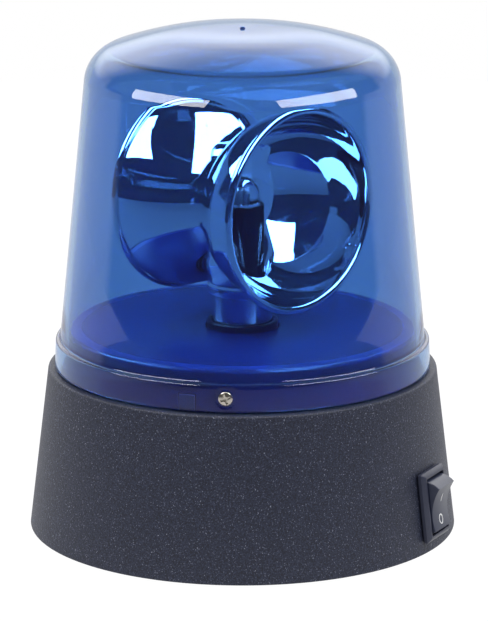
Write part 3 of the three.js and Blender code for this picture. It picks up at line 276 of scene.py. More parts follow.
def clearEpoxy():
    made, tree, shader = startMaterial(
        "clearEpoxy", IOR=epoxy["ior"], Roughness=epoxy["roughness"], Transmission_Weight=1.0)
    grainSurface(tree, shader, epoxy, [linear(epoxy["colour"]), linear(epoxy["cloudy"])])
    return made


materials = {
    "base": erodedAbsPaintedGlints(),
    "deck": satinMoulding("satinDeckAbs", "#1e306a", 0.24, gloss=0.42),
    "collar": satinMoulding("satinCollarAbs", "#0e1749", 0.34, gloss=0.28),
    # The rim is the deck's outer band painted paler, a painted highlight, on a glossier finish
    "rim": satinMoulding("rimPaintedHighlight", "#293c80", 0.3, gloss=0.6),
    "cover": satinMoulding("satinCoverAbs", "#1c1d21", 0.45),
    "switch": satinMoulding("switchPolyamide", "#2f3346", 0.36),
    "rocker": satinMoulding("rockerPolyamide", "#31364a", 0.3),
    "mark": satinMoulding("padPrintedWhite", "#e9eaec", 0.5),
    "post": satinMoulding("glossPostAbs", "#0b0c10", 0.12),
    "gear": satinMoulding("acetalBlack", "#121316", 0.35),
    "whiteGear": satinMoulding("acetalNatural", "#e4e1d6", 0.4),
    "dome": clearBlueSan(),
    "reflector": metallisedAbs(),
    "epoxy": clearEpoxy(),
    "nickel": workedMetal("nickelPlatedSteel", "#d8d2c6", 0.2),
    "steel": workedMetal("zincPlatedSteel", "#b9bdc2", 0.28),
    "brass": workedMetal("drawnBrass", "#c8a256", 0.3),
    "rubber": satinMoulding("mouldedRubber", "#1b1b1c", 0.8),
    "sleeve": satinMoulding("shrinkSleeve", "#2f4a38", 0.3),
}
print("materials made")


# Points on an arc in the plane of a profile, angles in degrees
def arcPoints(x, z, radius, start, end, steps):
    angles = [radians(start + (end - start) * i / steps) for i in range(steps + 1)]
    return [(x + radius * cos(a), z + radius * sin(a)) for a in angles]


sideShare = 0.49    # a rounding takes up no more than this share of a side


# Rounds the corners of a closed outline: each corner is (x, z, radius)
def rounded(corners, steps=6):
    points = []
    for i, (x, z, radius) in enumerate(corners):
        if radius == 0:
            points.append((x, z))
            continue
        here = Vector((x, z))
        before = Vector(corners[i - 1][:2]) - here
        after = Vector(corners[(i + 1) % len(corners)][:2]) - here
        half = before.angle(after) / 2
        reach = min(radius / tan(half), sideShare * min(before.length, after.length))
        size = reach * tan(half)
        middle = here + (before.normalized() + after.normalized()).normalized() * size / sin(half)
        first = here + before.normalized() * reach - middle
        last = here + after.normalized() * reach - middle
        turn = first.angle_signed(last)
        for step in range(steps + 1):
            spoke = first.copy()
            spoke.rotate(Matrix.Rotation(-turn * step / steps, 2))
            points.append(tuple(middle + spoke))
    return points


# A mesh object in metres from a bmesh in millimetres
def pieceFrom(name, body, material, sharp=35):
    bmesh.ops.remove_doubles(body, verts=body.verts, dist=weld)
    bmesh.ops.recalc_face_normals(body, faces=body.faces)
    bmesh.ops.scale(body, vec=(metre, metre, metre), verts=body.verts)
    mesh = bpy.data.meshes.new(name)
    body.to_mesh(mesh)
    body.free()
    obj = addObject(name, mesh)
    mesh.materials.append(materials[material])
    smoothShade(obj, sharp)
    return obj


def smoothShade(obj, sharp=35):
    obj.data.shade_smooth()
    obj.data.set_sharp_from_angle(angle=radians(sharp))


# Turns a profile of (radius, height) points about Z. One that starts on the axis ends there too,
# and any other is closed to a ring.
def lathe(profile, segments):
    closed = profile[0][0] > weld
    body = bmesh.new()
    rings = []
    for radius, height in profile:
        if radius < weld:
            rings.append([body.verts.new((0, 0, height))])
            continue
        angles = [2 * pi * i / segments for i in range(segments)]
        rings.append([body.verts.new((radius * cos(a), radius * sin(a), height))
                      for a in angles])
    pairs = list(zip(rings, rings[1:])) + ([(rings[-1], rings[0])] if closed else [])
    for lower, upper in pairs:
        for i in range(segments):
            j = (i + 1) % segments
            corners = [lower[i % len(lower)], lower[j % len(lower)],
                       upper[j % len(upper)], upper[i % len(upper)]]
            corners = list(dict.fromkeys(corners))
            if len(corners) > 2:
                body.faces.new(corners)
    return body


# Draws a flat outline in XY out along Z
def extrude(outline, low, high):
    body = bmesh.new()
    foot = [body.verts.new((x, y, low)) for x, y in outline]
    top = [body.verts.new((x, y, high)) for x, y in outline]
    body.faces.new(list(reversed(foot)))
    body.faces.new(top)
    for i in range(len(outline)):
        j = (i + 1) % len(outline)
        body.faces.new((foot[i], foot[j], top[j], top[i]))
    return body


# Moves a bmesh by a matrix given in millimetres
def placed(body, matrix):
    bmesh.ops.transform(body, matrix=matrix, verts=body.verts)
    return body


def towards(azimuth):
    return Matrix.Rotation(radians(azimuth - 90), 4, "Z")


def shift(x, y, z):
    return Matrix.Translation((x, y, z))


lying = Matrix.Rotation(radians(90), 4, "Y")    # lays what stands along Z down along X


# Joins or cuts a piece with others, which are used up
def combine(obj, operation, tools, sharp=35):
    for tool in tools:
        step = obj.modifiers.new("step", "BOOLEAN")
        step.operation = operation
        step.solver = "EXACT"
        step.object = tool
    shaped = obj.evaluated_get(bpy.context.evaluated_depsgraph_get())
    mesh = bpy.data.meshes.new_from_object(shaped)
    obj.modifiers.clear()
    obj.data = mesh
    for tool in tools:
        bpy.data.objects.remove(tool)
    smoothShade(obj, sharp)
    return obj


# Sets what a finished piece moves with and stands for
def settle(obj, body, slot, *nodes):
    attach(obj, body)
    if nodes:
        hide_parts(*nodes)
    return obj


# Heights and radii that the pieces share, read from the frame
housingLow, housingHigh = boxOf("base_housing")
domeLow, domeHigh = boxOf("dome")
hubLow, hubHigh = boxOf("rotor_gear")
hornLow, hornHigh = boxOf("reflector")
deckHeight = housingHigh.z
roundSegments = 192
toolPast = 1    # how far a cutting tool reaches past a face
rodPast = 5     # and a cutting rod past a wall

base = {
    "radius": 64.0, "draft": 0.1228, "shoulder": 49.6, "wall": 2.4,
    "footEdge": 0.3, "shoulderEdge": 0.9, "collarCorner": 0.5, "collarFrom": 1,
    "deckEdge": 1.3, "rim": 3.9, "skin": 0.1, "deckHole": 11.1, "holeEdge": 0.4,
    "innerCorner": 0.5, "innerEdge": 0.2, "screwBore": 1.55, "boreFrom": 40, "boreTo": 60,
    "switchAzimuth": 108, "switchHeight": 14.7, "switchWidth": 13.7, "switchTall": 19.5, "switchDeep": 20,
}

dome = {
    "wall": 1.8, "crownWall": 2.7, "flatRadius": 26, "flatness": 2.5,
    "crown": 119.7, "shoulder": 11.4, "draft": 0.1005, "arcSteps": 40, "wallSteps": 8,
    "skirt": 8.0, "skirtSetback": 1.9, "skirtDraft": 0.045, "skirtEdge": 0.5, "skirtFoot": 0.25,
    "ledge": 1.3, "ledgeCorner": 0.7, "collarGap": 0.4,
    "gateRise": 0.5, "gateRadius": 0.75, "gateRoot": 0.3, "gateEdge": 0.15, "gateDip": 0.25,
    "gateSpread": 1.5, "gateTip": 0.8, "gateSegments": 32,
    "screwRise": 4.0, "screwAzimuth": 40, "screws": 3, "screwBore": 1.6, "wellRadius": 3.1, "wellDepth": 1.1,
}

# The key on the collar, and the gap that the dome's notch leaves round it
key = {"azimuth": 28, "width": 4.4, "rise": 4.8, "reach": 1.2, "root": 1.2, "gap": 0.35}


# Radius of the base's drafted wall at a height
def wallAt(height):
    return base["radius"] - base["draft"] * height


skirtRadius = wallAt(base["shoulder"]) - dome["skirtSetback"]
skirtTop = domeLow.z + dome["skirt"]
skirtTopRadius = skirtRadius - dome["skirtDraft"] * dome["skirt"]
domeFoot = skirtTopRadius - dome["ledge"]
domeApex = domeHigh.z - dome["gateRise"]
crownCentre = domeApex - dome["crown"]
screwSeat = skirtRadius - dome["wellDepth"]
screwHeight = domeLow.z + dome["screwRise"]


# The switch's own frame: X out of the leaning wall, Y across and Z up it
def switchFrame():
    height = base["switchHeight"]
    return (towards(base["switchAzimuth"]) @ shift(wallAt(height), 0, height)
            @ Matrix.Rotation(-atan(base["draft"]), 4, "Y"))


# Lowers a point of the crown's arc inside the flat radius: the slope falls off by a power there
def flattened(x, z):
    edge = dome["flatRadius"]
    if x >= edge:
        return x, z
    full = (edge ** 2 - x ** 2) / (2 * dome["crown"])
    power = dome["flatness"] + 1
    kept = edge * edge / dome["crown"] * (1 - (x / edge) ** power) / power
    return x, z - full + kept


# The dome's outline at a depth under its outer face, from a height up to the apex; the crown has
# a depth of its own, and its middle is flatter than its arc
def domeOutline(depth, crownDepth, foot, steps):
    slant = hypot(1, dome["draft"])
    lean = degrees(atan(dome["draft"]))
    radius = dome["shoulder"] - depth
    reach = dome["crown"] - crownDepth - radius
    inset = domeFoot - dome["shoulder"] * slant + dome["draft"] * (skirtTop - crownCentre)
    a = 1 + dome["draft"] ** 2
    b = inset * dome["draft"]
    rise = (b + sqrt(b ** 2 - a * (inset ** 2 - reach ** 2))) / a
    filletX = inset - dome["draft"] * rise
    crownAngle = degrees(atan2(rise, filletX))
    start = (domeFoot - dome["draft"] * (foot - skirtTop) - depth * slant, foot)
    fillet = arcPoints(filletX, crownCentre + rise, radius, lean, crownAngle, steps)
    crown = [flattened(*point) for point in
             arcPoints(0, crownCentre, dome["crown"] - crownDepth, crownAngle, 90, steps)[1:]]
    crown[-1] = (0, crown[-1][1])
    wallSteps = dome["wallSteps"]    # rings up the wall keep its facets square
    wall = [(start[0] + (fillet[0][0] - start[0]) * i / wallSteps,
             start[1] + (fillet[0][1] - start[1]) * i / wallSteps) for i in range(wallSteps)]
    return wall + fillet + crown


def domeInner(height):
    slant = hypot(1, dome["draft"])
    return domeFoot - dome["draft"] * (height - skirtTop) - dome["wall"] * slant


def collarAt(height):
    return domeInner(height) - dome["collarGap"]


# Cylinder lying along an azimuth at a height, from one radius to another
def radialRod(radius, inner, outer, azimuth, height, segments=48):
    body = lathe([(0, inner), (radius, inner), (radius, outer), (0, outer)], segments)
    placed(body, lying)
    return placed(body, towards(azimuth) @ shift(0, 0, height))


def screwAzimuths():
    return [dome["screwAzimuth"] + 360 * i / dome["screws"] for i in range(dome["screws"])]


# Upright block at the key's azimuth, between two radii and two heights
def keyBlock(inner, outer, width, low, high):
    half = width / 2
    body = extrude([(inner, -half), (outer, -half), (outer, half), (inner, half)], low, high)
    return placed(body, towards(key["azimuth"]))


# Clear dome: one shell with its thick skirt, the gate mark on the crown and three screw wells
def makeDome():
    inner = domeOutline(dome["wall"], dome["crownWall"], domeLow.z, dome["arcSteps"])
    outer = domeOutline(0, 0, skirtTop, dome["arcSteps"])
    apex = outer[-1][1]
    foot = rounded([
        (inner[0][0], domeLow.z, 0),
        (skirtRadius, domeLow.z, dome["skirtFoot"]),
        (skirtTopRadius, skirtTop, dome["skirtEdge"]),
        (outer[0][0], skirtTop, dome["ledgeCorner"]),
        (outer[1][0], outer[1][1], 0),
    ])
    profile = list(reversed(inner))[:-1] + foot + outer[2:]
    shell = pieceFrom("dome_shell", lathe(profile, roundSegments), "dome")
    tools, past = [], screwSeat + rodPast
    for azimuth in screwAzimuths():
        bore = radialRod(dome["screwBore"], screwSeat - rodPast, past, azimuth, screwHeight)
        well = radialRod(dome["wellRadius"], screwSeat, past, azimuth, screwHeight)
        tools += [pieceFrom("bore", bore, "dome"), pieceFrom("well", well, "dome")]
    gap = key["gap"]
    notch = keyBlock(domeInner(skirtTop) - toolPast, collarAt(base["shoulder"]) + key["reach"] + gap,
                     key["width"] + 2 * gap, domeLow.z - toolPast, base["shoulder"] + key["rise"] + gap)
    tools.append(pieceFrom("notch", notch, "dome"))
    combine(shell, "DIFFERENCE", tools)
    radius, root, top = dome["gateRadius"], apex - dome["gateRoot"], apex + dome["gateRise"]
    gate = lathe([
        (0, root), (radius * dome["gateSpread"], root), (radius, apex + dome["gateEdge"]),
        (radius * dome["gateTip"], top), (0, top - dome["gateDip"]),
    ], dome["gateSegments"])
    combine(shell, "UNION", [pieceFrom("gate", gate, "dome")])
    return settle(shell, "base", "clear_dome", "dome")


# Base housing: drafted wall, flat shoulder, collar inside the dome's foot and the deck with its hole
def makeHousing():
    slant = base["wall"] * hypot(1, base["draft"])
    foot, shoulder = housingLow.z, base["shoulder"]
    ledge, under = shoulder - base["wall"], deckHeight - base["wall"]
    corner, edge = base["innerCorner"], base["innerEdge"]
    corners = [
        (wallAt(foot), foot, base["footEdge"]),
        (wallAt(shoulder), shoulder, base["shoulderEdge"]),
        (collarAt(shoulder), shoulder, base["collarCorner"]),
        (collarAt(deckHeight), deckHeight, base["deckEdge"]),
        (base["deckHole"], deckHeight, base["holeEdge"]),
        (base["deckHole"], under, edge),
        (collarAt(deckHeight) - base["wall"], under, corner),
        (collarAt(shoulder) - base["wall"], ledge, corner),
        (wallAt(ledge) - slant, ledge, corner),
        (wallAt(foot) - slant, foot, edge),
    ]
    # The deck's outer band, the base's rim wide, is painted paler: a painted highlight
    highlightRimInner = collarAt(deckHeight) - base["rim"]
    deckSkin = deckHeight - base["skin"]
    profile = []
    for x, z in rounded(corners):
        if profile and x < highlightRimInner < profile[-1][0] and z > deckSkin:
            profile.append((highlightRimInner, deckHeight))
        profile.append((x, z))
    shell = pieceFrom("housing_shell", lathe(profile, roundSegments), "base")
    tools = []
    for azimuth in screwAzimuths():
        bore = radialRod(base["screwBore"], base["boreFrom"], base["boreTo"], azimuth, screwHeight)
        tools.append(pieceFrom("bore", bore, "base"))
    opening = bmesh.new()
    bmesh.ops.create_cube(opening, size=1)
    size = Matrix.Diagonal((base["switchDeep"], base["switchWidth"], base["switchTall"], 1))
    tools.append(pieceFrom("opening", placed(opening, switchFrame() @ size), "base"))
    rib = keyBlock(collarAt(shoulder) - key["root"], collarAt(shoulder) + key["reach"],
                   key["width"], shoulder - toolPast, shoulder + key["rise"])
    combine(shell, "UNION", [pieceFrom("rib", rib, "base")])
    combine(shell, "DIFFERENCE", tools)
    finishes = ["base", "deck", "collar", "rim"]
    for finish in finishes[1:]:
        shell.data.materials.append(materials[finish])
    for face in shell.data.polygons:
        rise, radius = face.center.z, face.center.xy.length
        finish = "base"
        if rise > (shoulder + base["collarFrom"]) * metre:
            finish = "collar"
        if rise > (deckHeight - base["deckEdge"]) * metre:
            finish = "deck"
        if rise > deckSkin * metre and radius > highlightRimInner * metre:
            finish = "rim"
        face.material_index = finishes.index(finish)
    return settle(shell, "base", "base_moulding", "base_housing")


makeDome()
makeHousing()
print("dome and housing made")


# Reflector: two bowls back to back on one column, which narrows to a tube in the hub
horn = {
    "vertexBack": 3.2, "wall": 1.2, "lip": 1.2, "column": 11.8, "bore": 10.0,
    "centreRise": 38.5, "topRise": 17.5, "topEdge": 5.0, "topSteps": 14,
    "neck": 10.4, "neckRise": 9.8, "neckHeight": 3.4, "neckFlare": 8.0, "flareSteps": 10,
    "neckStep": 0.9, "bead": 0.6, "beadFrom": -60, "beadSteps": 5, "tube": 9.05, "tubeBore": 7.4,
    "bowlSteps": 44, "lipSteps": 16, "mouthSteps": 10, "segments": 128, "boreSegments": 96, "sharp": 28,
}
bowlCentre = deckHeight + horn["centreRise"]
bowlReach = hornHigh.x
mouthInner = hornHigh.y - 2 * horn["lip"]


# Quarter ellipse of a bowl's section from its vertex to an angle, moved out by an offset
def bowlSection(offset, endAngle):
    depth = bowlReach + horn["vertexBack"]
    points = []
    for i in range(horn["bowlSteps"] + 1):
        angle = endAngle * i / horn["bowlSteps"]
        along = mouthInner * cos(angle)
        across = depth * sin(angle)
        slant = offset / hypot(along, across)
        points.append((mouthInner * sin(angle) + across * slant,
                       bowlReach - depth * cos(angle) - along * slant))
    return points


# Turns a bowl's section into a body whose axis runs along +X, and then by a matrix
def bowlPiece(name, points, turn):
    body = lathe(points, horn["segments"])
    placed(body, turn @ shift(0, 0, bowlCentre) @ lying)
    return pieceFrom(name, body, "reflector")


# One bowl, solid as yet
def bowlBody(name, turn):
    lip = horn["lip"]
    points = bowlSection(horn["wall"], acos(2 * lip / (bowlReach + horn["vertexBack"])))
    points += arcPoints(mouthInner + lip, bowlReach - lip, lip, -90, 90, horn["lipSteps"])
    points.append((0, bowlReach))
    return bowlPiece(name, points, turn)


# The hollow of one bowl, its mouth rounded over to the lip's crest
def bowlHollow(name, turn):
    lip = horn["lip"]
    points = bowlSection(0, acos(lip / (bowlReach + horn["vertexBack"])))
    points += arcPoints(mouthInner + lip, bowlReach - lip, lip, 180, 90, horn["mouthSteps"])[1:]
    points += [(points[-1][0], bowlReach + toolPast), (0, bowlReach + toolPast)]
    return bowlPiece(name, points, turn)


def makeReflector():
    top = bowlCentre + horn["topRise"]
    neckFoot = deckHeight + horn["neckRise"]
    neckTop = neckFoot + horn["neckHeight"]
    neck, column, bead, edge = horn["neck"], horn["column"], horn["bead"], horn["topEdge"]
    steps = horn["flareSteps"]
    flare = [(neck + (column - neck) * (1 - cos(radians(180 * i / steps))) / 2,
              neckTop + horn["neckFlare"] * i / steps) for i in range(1, steps + 1)]
    outline = [(0, hornLow.z), (horn["tube"], hornLow.z), (horn["tube"], neckFoot)]
    beadRise = neckFoot + horn["neckStep"]
    outline += arcPoints(neck - bead, beadRise, bead, horn["beadFrom"], 0, horn["beadSteps"])
    outline += [(neck, neckTop)] + flare
    outline += arcPoints(column - edge, top - edge, edge, 0, 90, horn["topSteps"]) + [(0, top)]
    piece = pieceFrom("reflector_horn", lathe(outline, horn["segments"]), "reflector")
    wall, under = column - horn["bore"], hornLow.z - toolPast
    hollow = [(0, under), (horn["tubeBore"], under), (horn["tubeBore"], neckTop),
              (horn["bore"], neckTop + horn["neckFlare"])]
    hollow += arcPoints(column - edge, top - edge, edge - wall, 0, 90, horn["topSteps"]) + [(0, top - wall)]
    bore = pieceFrom("bore", lathe(hollow, horn["boreSegments"]), "reflector")
    front, back = Matrix.Identity(4), Matrix.Rotation(pi, 4, "Z")
    combine(piece, "UNION", [bowlBody("front", front), bowlBody("back", back)], horn["sharp"])
    hollows = [bore, bowlHollow("frontHollow", front), bowlHollow("backHollow", back)]
    combine(piece, "DIFFERENCE", hollows, horn["sharp"])
    return settle(piece, "rotor", "metallised_plastic", "reflector")


makeReflector()
print("reflector made")


# Rotor hub: the black ring round the tube's foot, on its gear
hub = {
    "radius": 10.6, "edge": 0.6, "socket": 9.4, "socketDepth": 3.8, "bore": 6.75, "boss": 8.4,
    "bossHeight": 2.3, "footEdge": 0.15, "bossEdge": 0.3, "step": 0.5, "stepEdge": 0.2, "floorEdge": 0.1,
    "gearThick": 3.4, "teeth": 48, "module": 0.7, "wheelTurn": 164, "segments": 96,
}
# Stations up a tooth: height over the pitch circle in modules, half width in pitches
toothStations = [(-1.25, 0.34), (-0.4, 0.29), (0, 0.235), (0.9, 0.13)]


# Outline of a spur gear with flanks that lean in to the tip
def gearOutline(teeth, module):
    pitch = teeth * module / 2
    points = []
    for tooth in range(teeth):
        for side, stations in ((-1, toothStations), (1, reversed(toothStations))):
            for rise, share in stations:
                radius = pitch + rise * module
                angle = 2 * pi * (tooth + side * share) / teeth
                points.append((radius * cos(angle), radius * sin(angle)))
    return points


def makeHub():
    foot, top = hubLow.z, hubHigh.z
    gearFoot = foot + hub["bossHeight"]
    floor = top - hub["socketDepth"]
    edge = hub["bossEdge"]
    ring = rounded([
        (hub["bore"], foot, hub["footEdge"]), (hub["boss"], foot, edge), (hub["boss"], gearFoot, edge),
        (hub["radius"], gearFoot + hub["step"], hub["stepEdge"]), (hub["radius"], top, hub["edge"]),
        (hub["socket"], top, edge), (hub["socket"], floor, hub["floorEdge"]),
        (hub["bore"], floor, hub["floorEdge"]),
    ])
    piece = pieceFrom("rotor_hub", lathe(ring, hub["segments"]), "gear")
    wheel = extrude(gearOutline(hub["teeth"], hub["module"]), gearFoot, gearFoot + hub["gearThick"])
    placed(wheel, Matrix.Rotation(radians(hub["wheelTurn"]), 4, "Z"))
    wheelPiece = pieceFrom("wheel", wheel, "gear")
    low, high = gearFoot - toolPast, gearFoot + rodPast
    hole = lathe([(0, low), (hub["boss"], low), (hub["boss"], high), (0, high)], hub["segments"])
    combine(wheelPiece, "DIFFERENCE", [pieceFrom("hole", hole, "gear")])
    combine(piece, "UNION", [wheelPiece])
    return settle(piece, "rotor", "black_gear", "rotor_gear")


# Lamp post: a dark gloss tube with its flange, and a seat for the lamp at its top
post = {
    "radius": 6.4, "bore": 4.9, "seat": 5.8, "seatDepth": 1.1, "flange": 9.5, "flangeRise": 3,
    "flangeThick": 2, "edge": 0.2, "topEdge": 0.3, "seatEdge": 0.15, "innerEdge": 0.1, "segments": 96,
}


def makePost():
    low, high = boxOf("lamp_post")
    flange, seat = low.z + post["flangeRise"], high.z - post["seatDepth"]
    over = flange + post["flangeThick"]
    radius, edge, inner = post["radius"], post["edge"], post["innerEdge"]
    outline = rounded([
        (post["bore"], low.z, edge), (radius, low.z, edge), (radius, flange, inner),
        (post["flange"], flange, edge), (post["flange"], over, edge), (radius, over, post["topEdge"]),
        (radius, high.z, post["topEdge"]), (post["seat"], high.z, post["seatEdge"]),
        (post["seat"], seat, inner), (post["bore"], seat, inner),
    ])
    piece = pieceFrom("post_tube", lathe(outline, post["segments"]), "post")
    return settle(piece, "base", "black_gloss", "lamp_post")


# Lamp: epoxy body with its round lens, and the lead frame cast inside it.
# The cup's outline is (radius, height over the lamp's foot).
lamp = {
    "radius": 5.0, "flange": 5.5, "flangeEdge": 0.2, "flangeTop": 1.2, "shoulder": 1.5, "segments": 96,
    "cup": [(0, 1), (1.3, 1), (1.5, 3.4), (1.2, 4.4), (0.9, 4.4), (0.55, 3.9), (0, 3.9)], "cupAside": -0.9,
    "leadFrom": 0.7, "leadTo": 1.9, "leadHalf": 0.35, "leadFoot": 1, "leadTop": 3.9,
    "flangeSteps": 3, "lensSteps": 20, "cupSegments": 32,
}


def makeLamp():
    low, high = boxOf("led")
    radius, flange, edge = lamp["radius"], lamp["flange"], lamp["flangeEdge"]
    outline = [(0, low.z), (flange, low.z)]
    outline += arcPoints(flange - edge, low.z + lamp["flangeTop"], edge, 0, 90, lamp["flangeSteps"])
    outline.append((radius, low.z + lamp["shoulder"]))
    outline += arcPoints(0, high.z - radius, radius, 0, 90, lamp["lensSteps"])
    outline[-1] = (0, high.z)
    body = pieceFrom("lamp_body", lathe(outline, lamp["segments"]), "epoxy")
    settle(body, "base", "clear_lamp", "led")
    cup = lathe([(x, low.z + rise) for x, rise in lamp["cup"]], lamp["cupSegments"])
    placed(cup, shift(lamp["cupAside"], 0, 0))
    settle(pieceFrom("lead_cup", cup, "steel"), "base", "plated_steel")
    near, far, half = lamp["leadFrom"], lamp["leadTo"], lamp["leadHalf"]
    blade = extrude([(near, -half), (far, -half), (far, half), (near, half)],
                    low.z + lamp["leadFoot"], low.z + lamp["leadTop"])
    settle(pieceFrom("lead_post", blade, "steel"), "base", "plated_steel")


makeHub()
makePost()
makeLamp()
print("hub, post and lamp made")


# Pan-head screws. Head and thread are shares of the head's height and radius, and of the pitch.
screw = {
    "dome": (2.1, 1.3, 1.25, 7.2), "cover": (2.8, 1.8, 1.1, 9.0),    # head radius, height, shank, length
    "crown": 0.45, "crownFoot": 0.55, "crownStep": 12, "crownEnd": 85,
    "rim": 0.25, "underEdge": 0.08, "segments": 40, "sharp": 40,
    "pitch": 0.9, "crestTo": 0.55, "rootAt": 0.8, "rootRadius": 0.8, "point": 1.2,
    "cross": 0.72, "crossHalf": 0.17, "crossFloor": 0.2, "crossTurn": 22,
    "pitFoot": 0.6, "pitEdge": 1.2, "pitLow": 0.3, "pitHigh": 0.42, "pitSegments": 24, "lift": 0.3,
}


# Pan-head screw with a cross recess, its seat at z = 0 and its shank pointing down
def panScrew(name, headRadius, headHeight, shankRadius, length):
    points = [(0, headHeight)]
    points += [(headRadius * sin(radians(a)),
                headHeight * (screw["crownFoot"] + screw["crown"] * cos(radians(a))))
               for a in range(screw["crownStep"], screw["crownEnd"], screw["crownStep"])]
    points += [(headRadius, screw["rim"] * headHeight), (headRadius - screw["underEdge"], 0),
               (shankRadius, 0)]
    pitch = screw["pitch"]
    for turn in range(int((length - screw["point"]) / pitch)):
        z = -turn * pitch
        points += [(shankRadius, z - screw["crestTo"] * pitch),
                   (shankRadius * screw["rootRadius"], z - screw["rootAt"] * pitch),
                   (shankRadius, z - pitch)]
    points.append((0, -length))
    piece = pieceFrom(name, lathe(points, screw["segments"]), "nickel", screw["sharp"])
    arm, half = headRadius * screw["cross"], screw["crossHalf"] * headRadius
    floor, over = headHeight * screw["crossFloor"], headHeight + toolPast
    for spin in (0, 90):
        slot = extrude([(-arm, -half), (arm, -half), (arm, half), (-arm, half)], floor, over)
        placed(slot, Matrix.Rotation(radians(spin + screw["crossTurn"]), 4, "Z"))
        combine(piece, "DIFFERENCE", [pieceFrom("slot", slot, "nickel")], screw["sharp"])
    pit = lathe([(0, floor * screw["pitFoot"]), (screw["pitLow"] * headRadius, floor * screw["pitEdge"]),
                 (screw["pitHigh"] * headRadius, over), (0, over)], screw["pitSegments"])
    combine(piece, "DIFFERENCE", [pieceFrom("pit", pit, "nickel")], screw["sharp"])
    return piece


def placeObject(obj, matrix):
    scaled = matrix.copy()
    scaled.translation = matrix.translation * metre
    obj.data.transform(scaled)


# The screws stand where the frame's own screws stand
def makeScrews():
    for i, azimuth in enumerate(screwAzimuths()):
        piece = panScrew(f"dome_pan_screw_{i + 1}", *screw["dome"])
        placeObject(piece, towards(azimuth) @ shift(screwSeat + screw["lift"], 0, screwHeight) @ lying)
        settle(piece, "base", "plated_steel", f"dome_screw_{i + 1}")
    for i in range(4):
        low, high = boxOf(f"cover_screw_{i + 1}")
        piece = panScrew(f"cover_pan_screw_{i + 1}", *screw["cover"])
        middle, seat = (low + high) / 2, low.z + screw["cover"][1]
        placeObject(piece, shift(middle.x, middle.y, seat) @ Matrix.Rotation(pi, 4, "X"))
        settle(piece, "base", "plated_steel", f"cover_screw_{i + 1}")


# Rubber feet, rounded at the edge they stand on
foot = {"radius": 5, "footEdge": 0.4, "topEdge": 0.15, "segments": 48}


def makeFeet():
    for i in range(4):
        low, high = boxOf(f"rubber_foot_{i + 1}")
        outline = rounded([(0, 0, 0), (foot["radius"], 0, foot["footEdge"]),
                           (foot["radius"], high.z, foot["topEdge"]), (0, high.z, 0)])
        middle = (low + high) / 2
        body = placed(lathe(outline, foot["segments"]), shift(middle.x, middle.y, 0))
        settle(pieceFrom(f"foot_pad_{i + 1}", body, "rubber"), "base", "rubber", f"rubber_foot_{i + 1}")


makeScrews()
makeFeet()
print("screws and feet made")


# Rocker switch, drawn with X out of the wall, Y across and Z up the wall
switch = {
    "bezelWide": 15.0, "bezelTall": 20.7, "bezelThick": 2.0, "seat": 0.3, "depth": 12.5,
    "openWide": 11.4, "openTall": 17.1, "openEdge": 0.15, "openStep": 0.2, "floor": 1.2, "pinhole": 0.05,
    "bodyWide": 13.0, "bodyTall": 18.8, "corner": 0.5, "innerCorner": 0.25,
    "rimHeight": 0.9, "rimEdge": 0.25, "slopeTo": 1.1, "slopeEdge": 0.2, "slopeDrop": 0.05,
    "slopeCorner": 0.4, "faceCorner": 0.35, "mouthCorner": 0.3, "pinholeCorner": 0.02, "cornerSteps": 5,
    "pivot": 2.6, "rockerWide": 10.6, "rockerRadius": 8.2, "rockerEdge": 0.2,
    "faceRise": 0.7, "faceSteps": 14, "throw": 22, "heel": 3.2, "sideSteps": 8,
    "tailReach": 5.4, "tailHalf": 1.5, "sharp": 30,
}


# Faces between pairs of loops that have the same number of points
def bridge(body, pairs):
    for first, second in pairs:
        for i in range(len(first)):
            j = (i + 1) % len(first)
            body.faces.new((first[i], first[j], second[j], second[i]))


# A frame from nested rounded rectangles: each ring is (half width, half height, corner, depth)
def rectangleRings(rings):
    body = bmesh.new()
    loops = []
    for wide, tall, corner, depth in rings:
        outline = rounded([(wide, tall, corner), (-wide, tall, corner),
                           (-wide, -tall, corner), (wide, -tall, corner)], switch["cornerSteps"])
        loops.append([body.verts.new((depth, y, z)) for y, z in outline])
    bridge(body, zip(loops, loops[1:] + loops[:1]))
    return body


def makeSwitchBody():
    back = switch["seat"]
    front = back + switch["bezelThick"]
    wide, tall = switch["bezelWide"] / 2, switch["bezelTall"] / 2
    openWide, openTall = switch["openWide"] / 2, switch["openTall"] / 2
    bodyWide, bodyTall = switch["bodyWide"] / 2, switch["bodyTall"] / 2
    deep = front - switch["depth"]
    floor = deep + switch["floor"]
    corner, inner = switch["corner"], switch["innerCorner"]
    dot, dotCorner = switch["pinhole"], switch["pinholeCorner"]
    rim, edge, mouth = back + switch["rimHeight"], switch["rimEdge"], switch["openEdge"]
    slope, slopeEnd = switch["slopeTo"], switch["slopeTo"] + switch["slopeEdge"]
    rings = [
        (wide, tall, corner, back), (wide, tall, corner, rim),
        (wide - edge, tall - edge, corner, rim + edge),
        (wide - slope, tall - slope, switch["slopeCorner"], front - switch["slopeDrop"]),
        (wide - slopeEnd, tall - slopeEnd, switch["faceCorner"], front),
        (openWide + mouth, openTall + mouth, switch["mouthCorner"], front),
        (openWide, openTall, inner, front - switch["openStep"]), (openWide, openTall, inner, floor),
        (dot, dot, dotCorner, floor), (dot, dot, dotCorner, deep),
        (bodyWide, bodyTall, corner, deep), (bodyWide, bodyTall, corner, back),
    ]
    body = placed(rectangleRings(rings), switchFrame())
    piece = pieceFrom("switch_bezel", body, "switch", switch["sharp"])
    return settle(piece, "base", "switch_black", "switch_housing")


# Rocker key: two flats that meet in a hollow. Its face's height over the pivot, at a place along it.
def rockerFace(z):
    rise = switch["pivot"] + switch["faceRise"]
    end, topZ = rockerEnd()
    return rise + (end - rise) * (z / topZ) ** 2


# Where the face meets the round side, out from the pivot and along the key
def rockerEnd():
    radius = switch["rockerRadius"]
    end = switch["pivot"] + switch["faceRise"] + radius * sin(radians(switch["throw"] / 2))
    return end, sqrt(radius ** 2 - end ** 2)


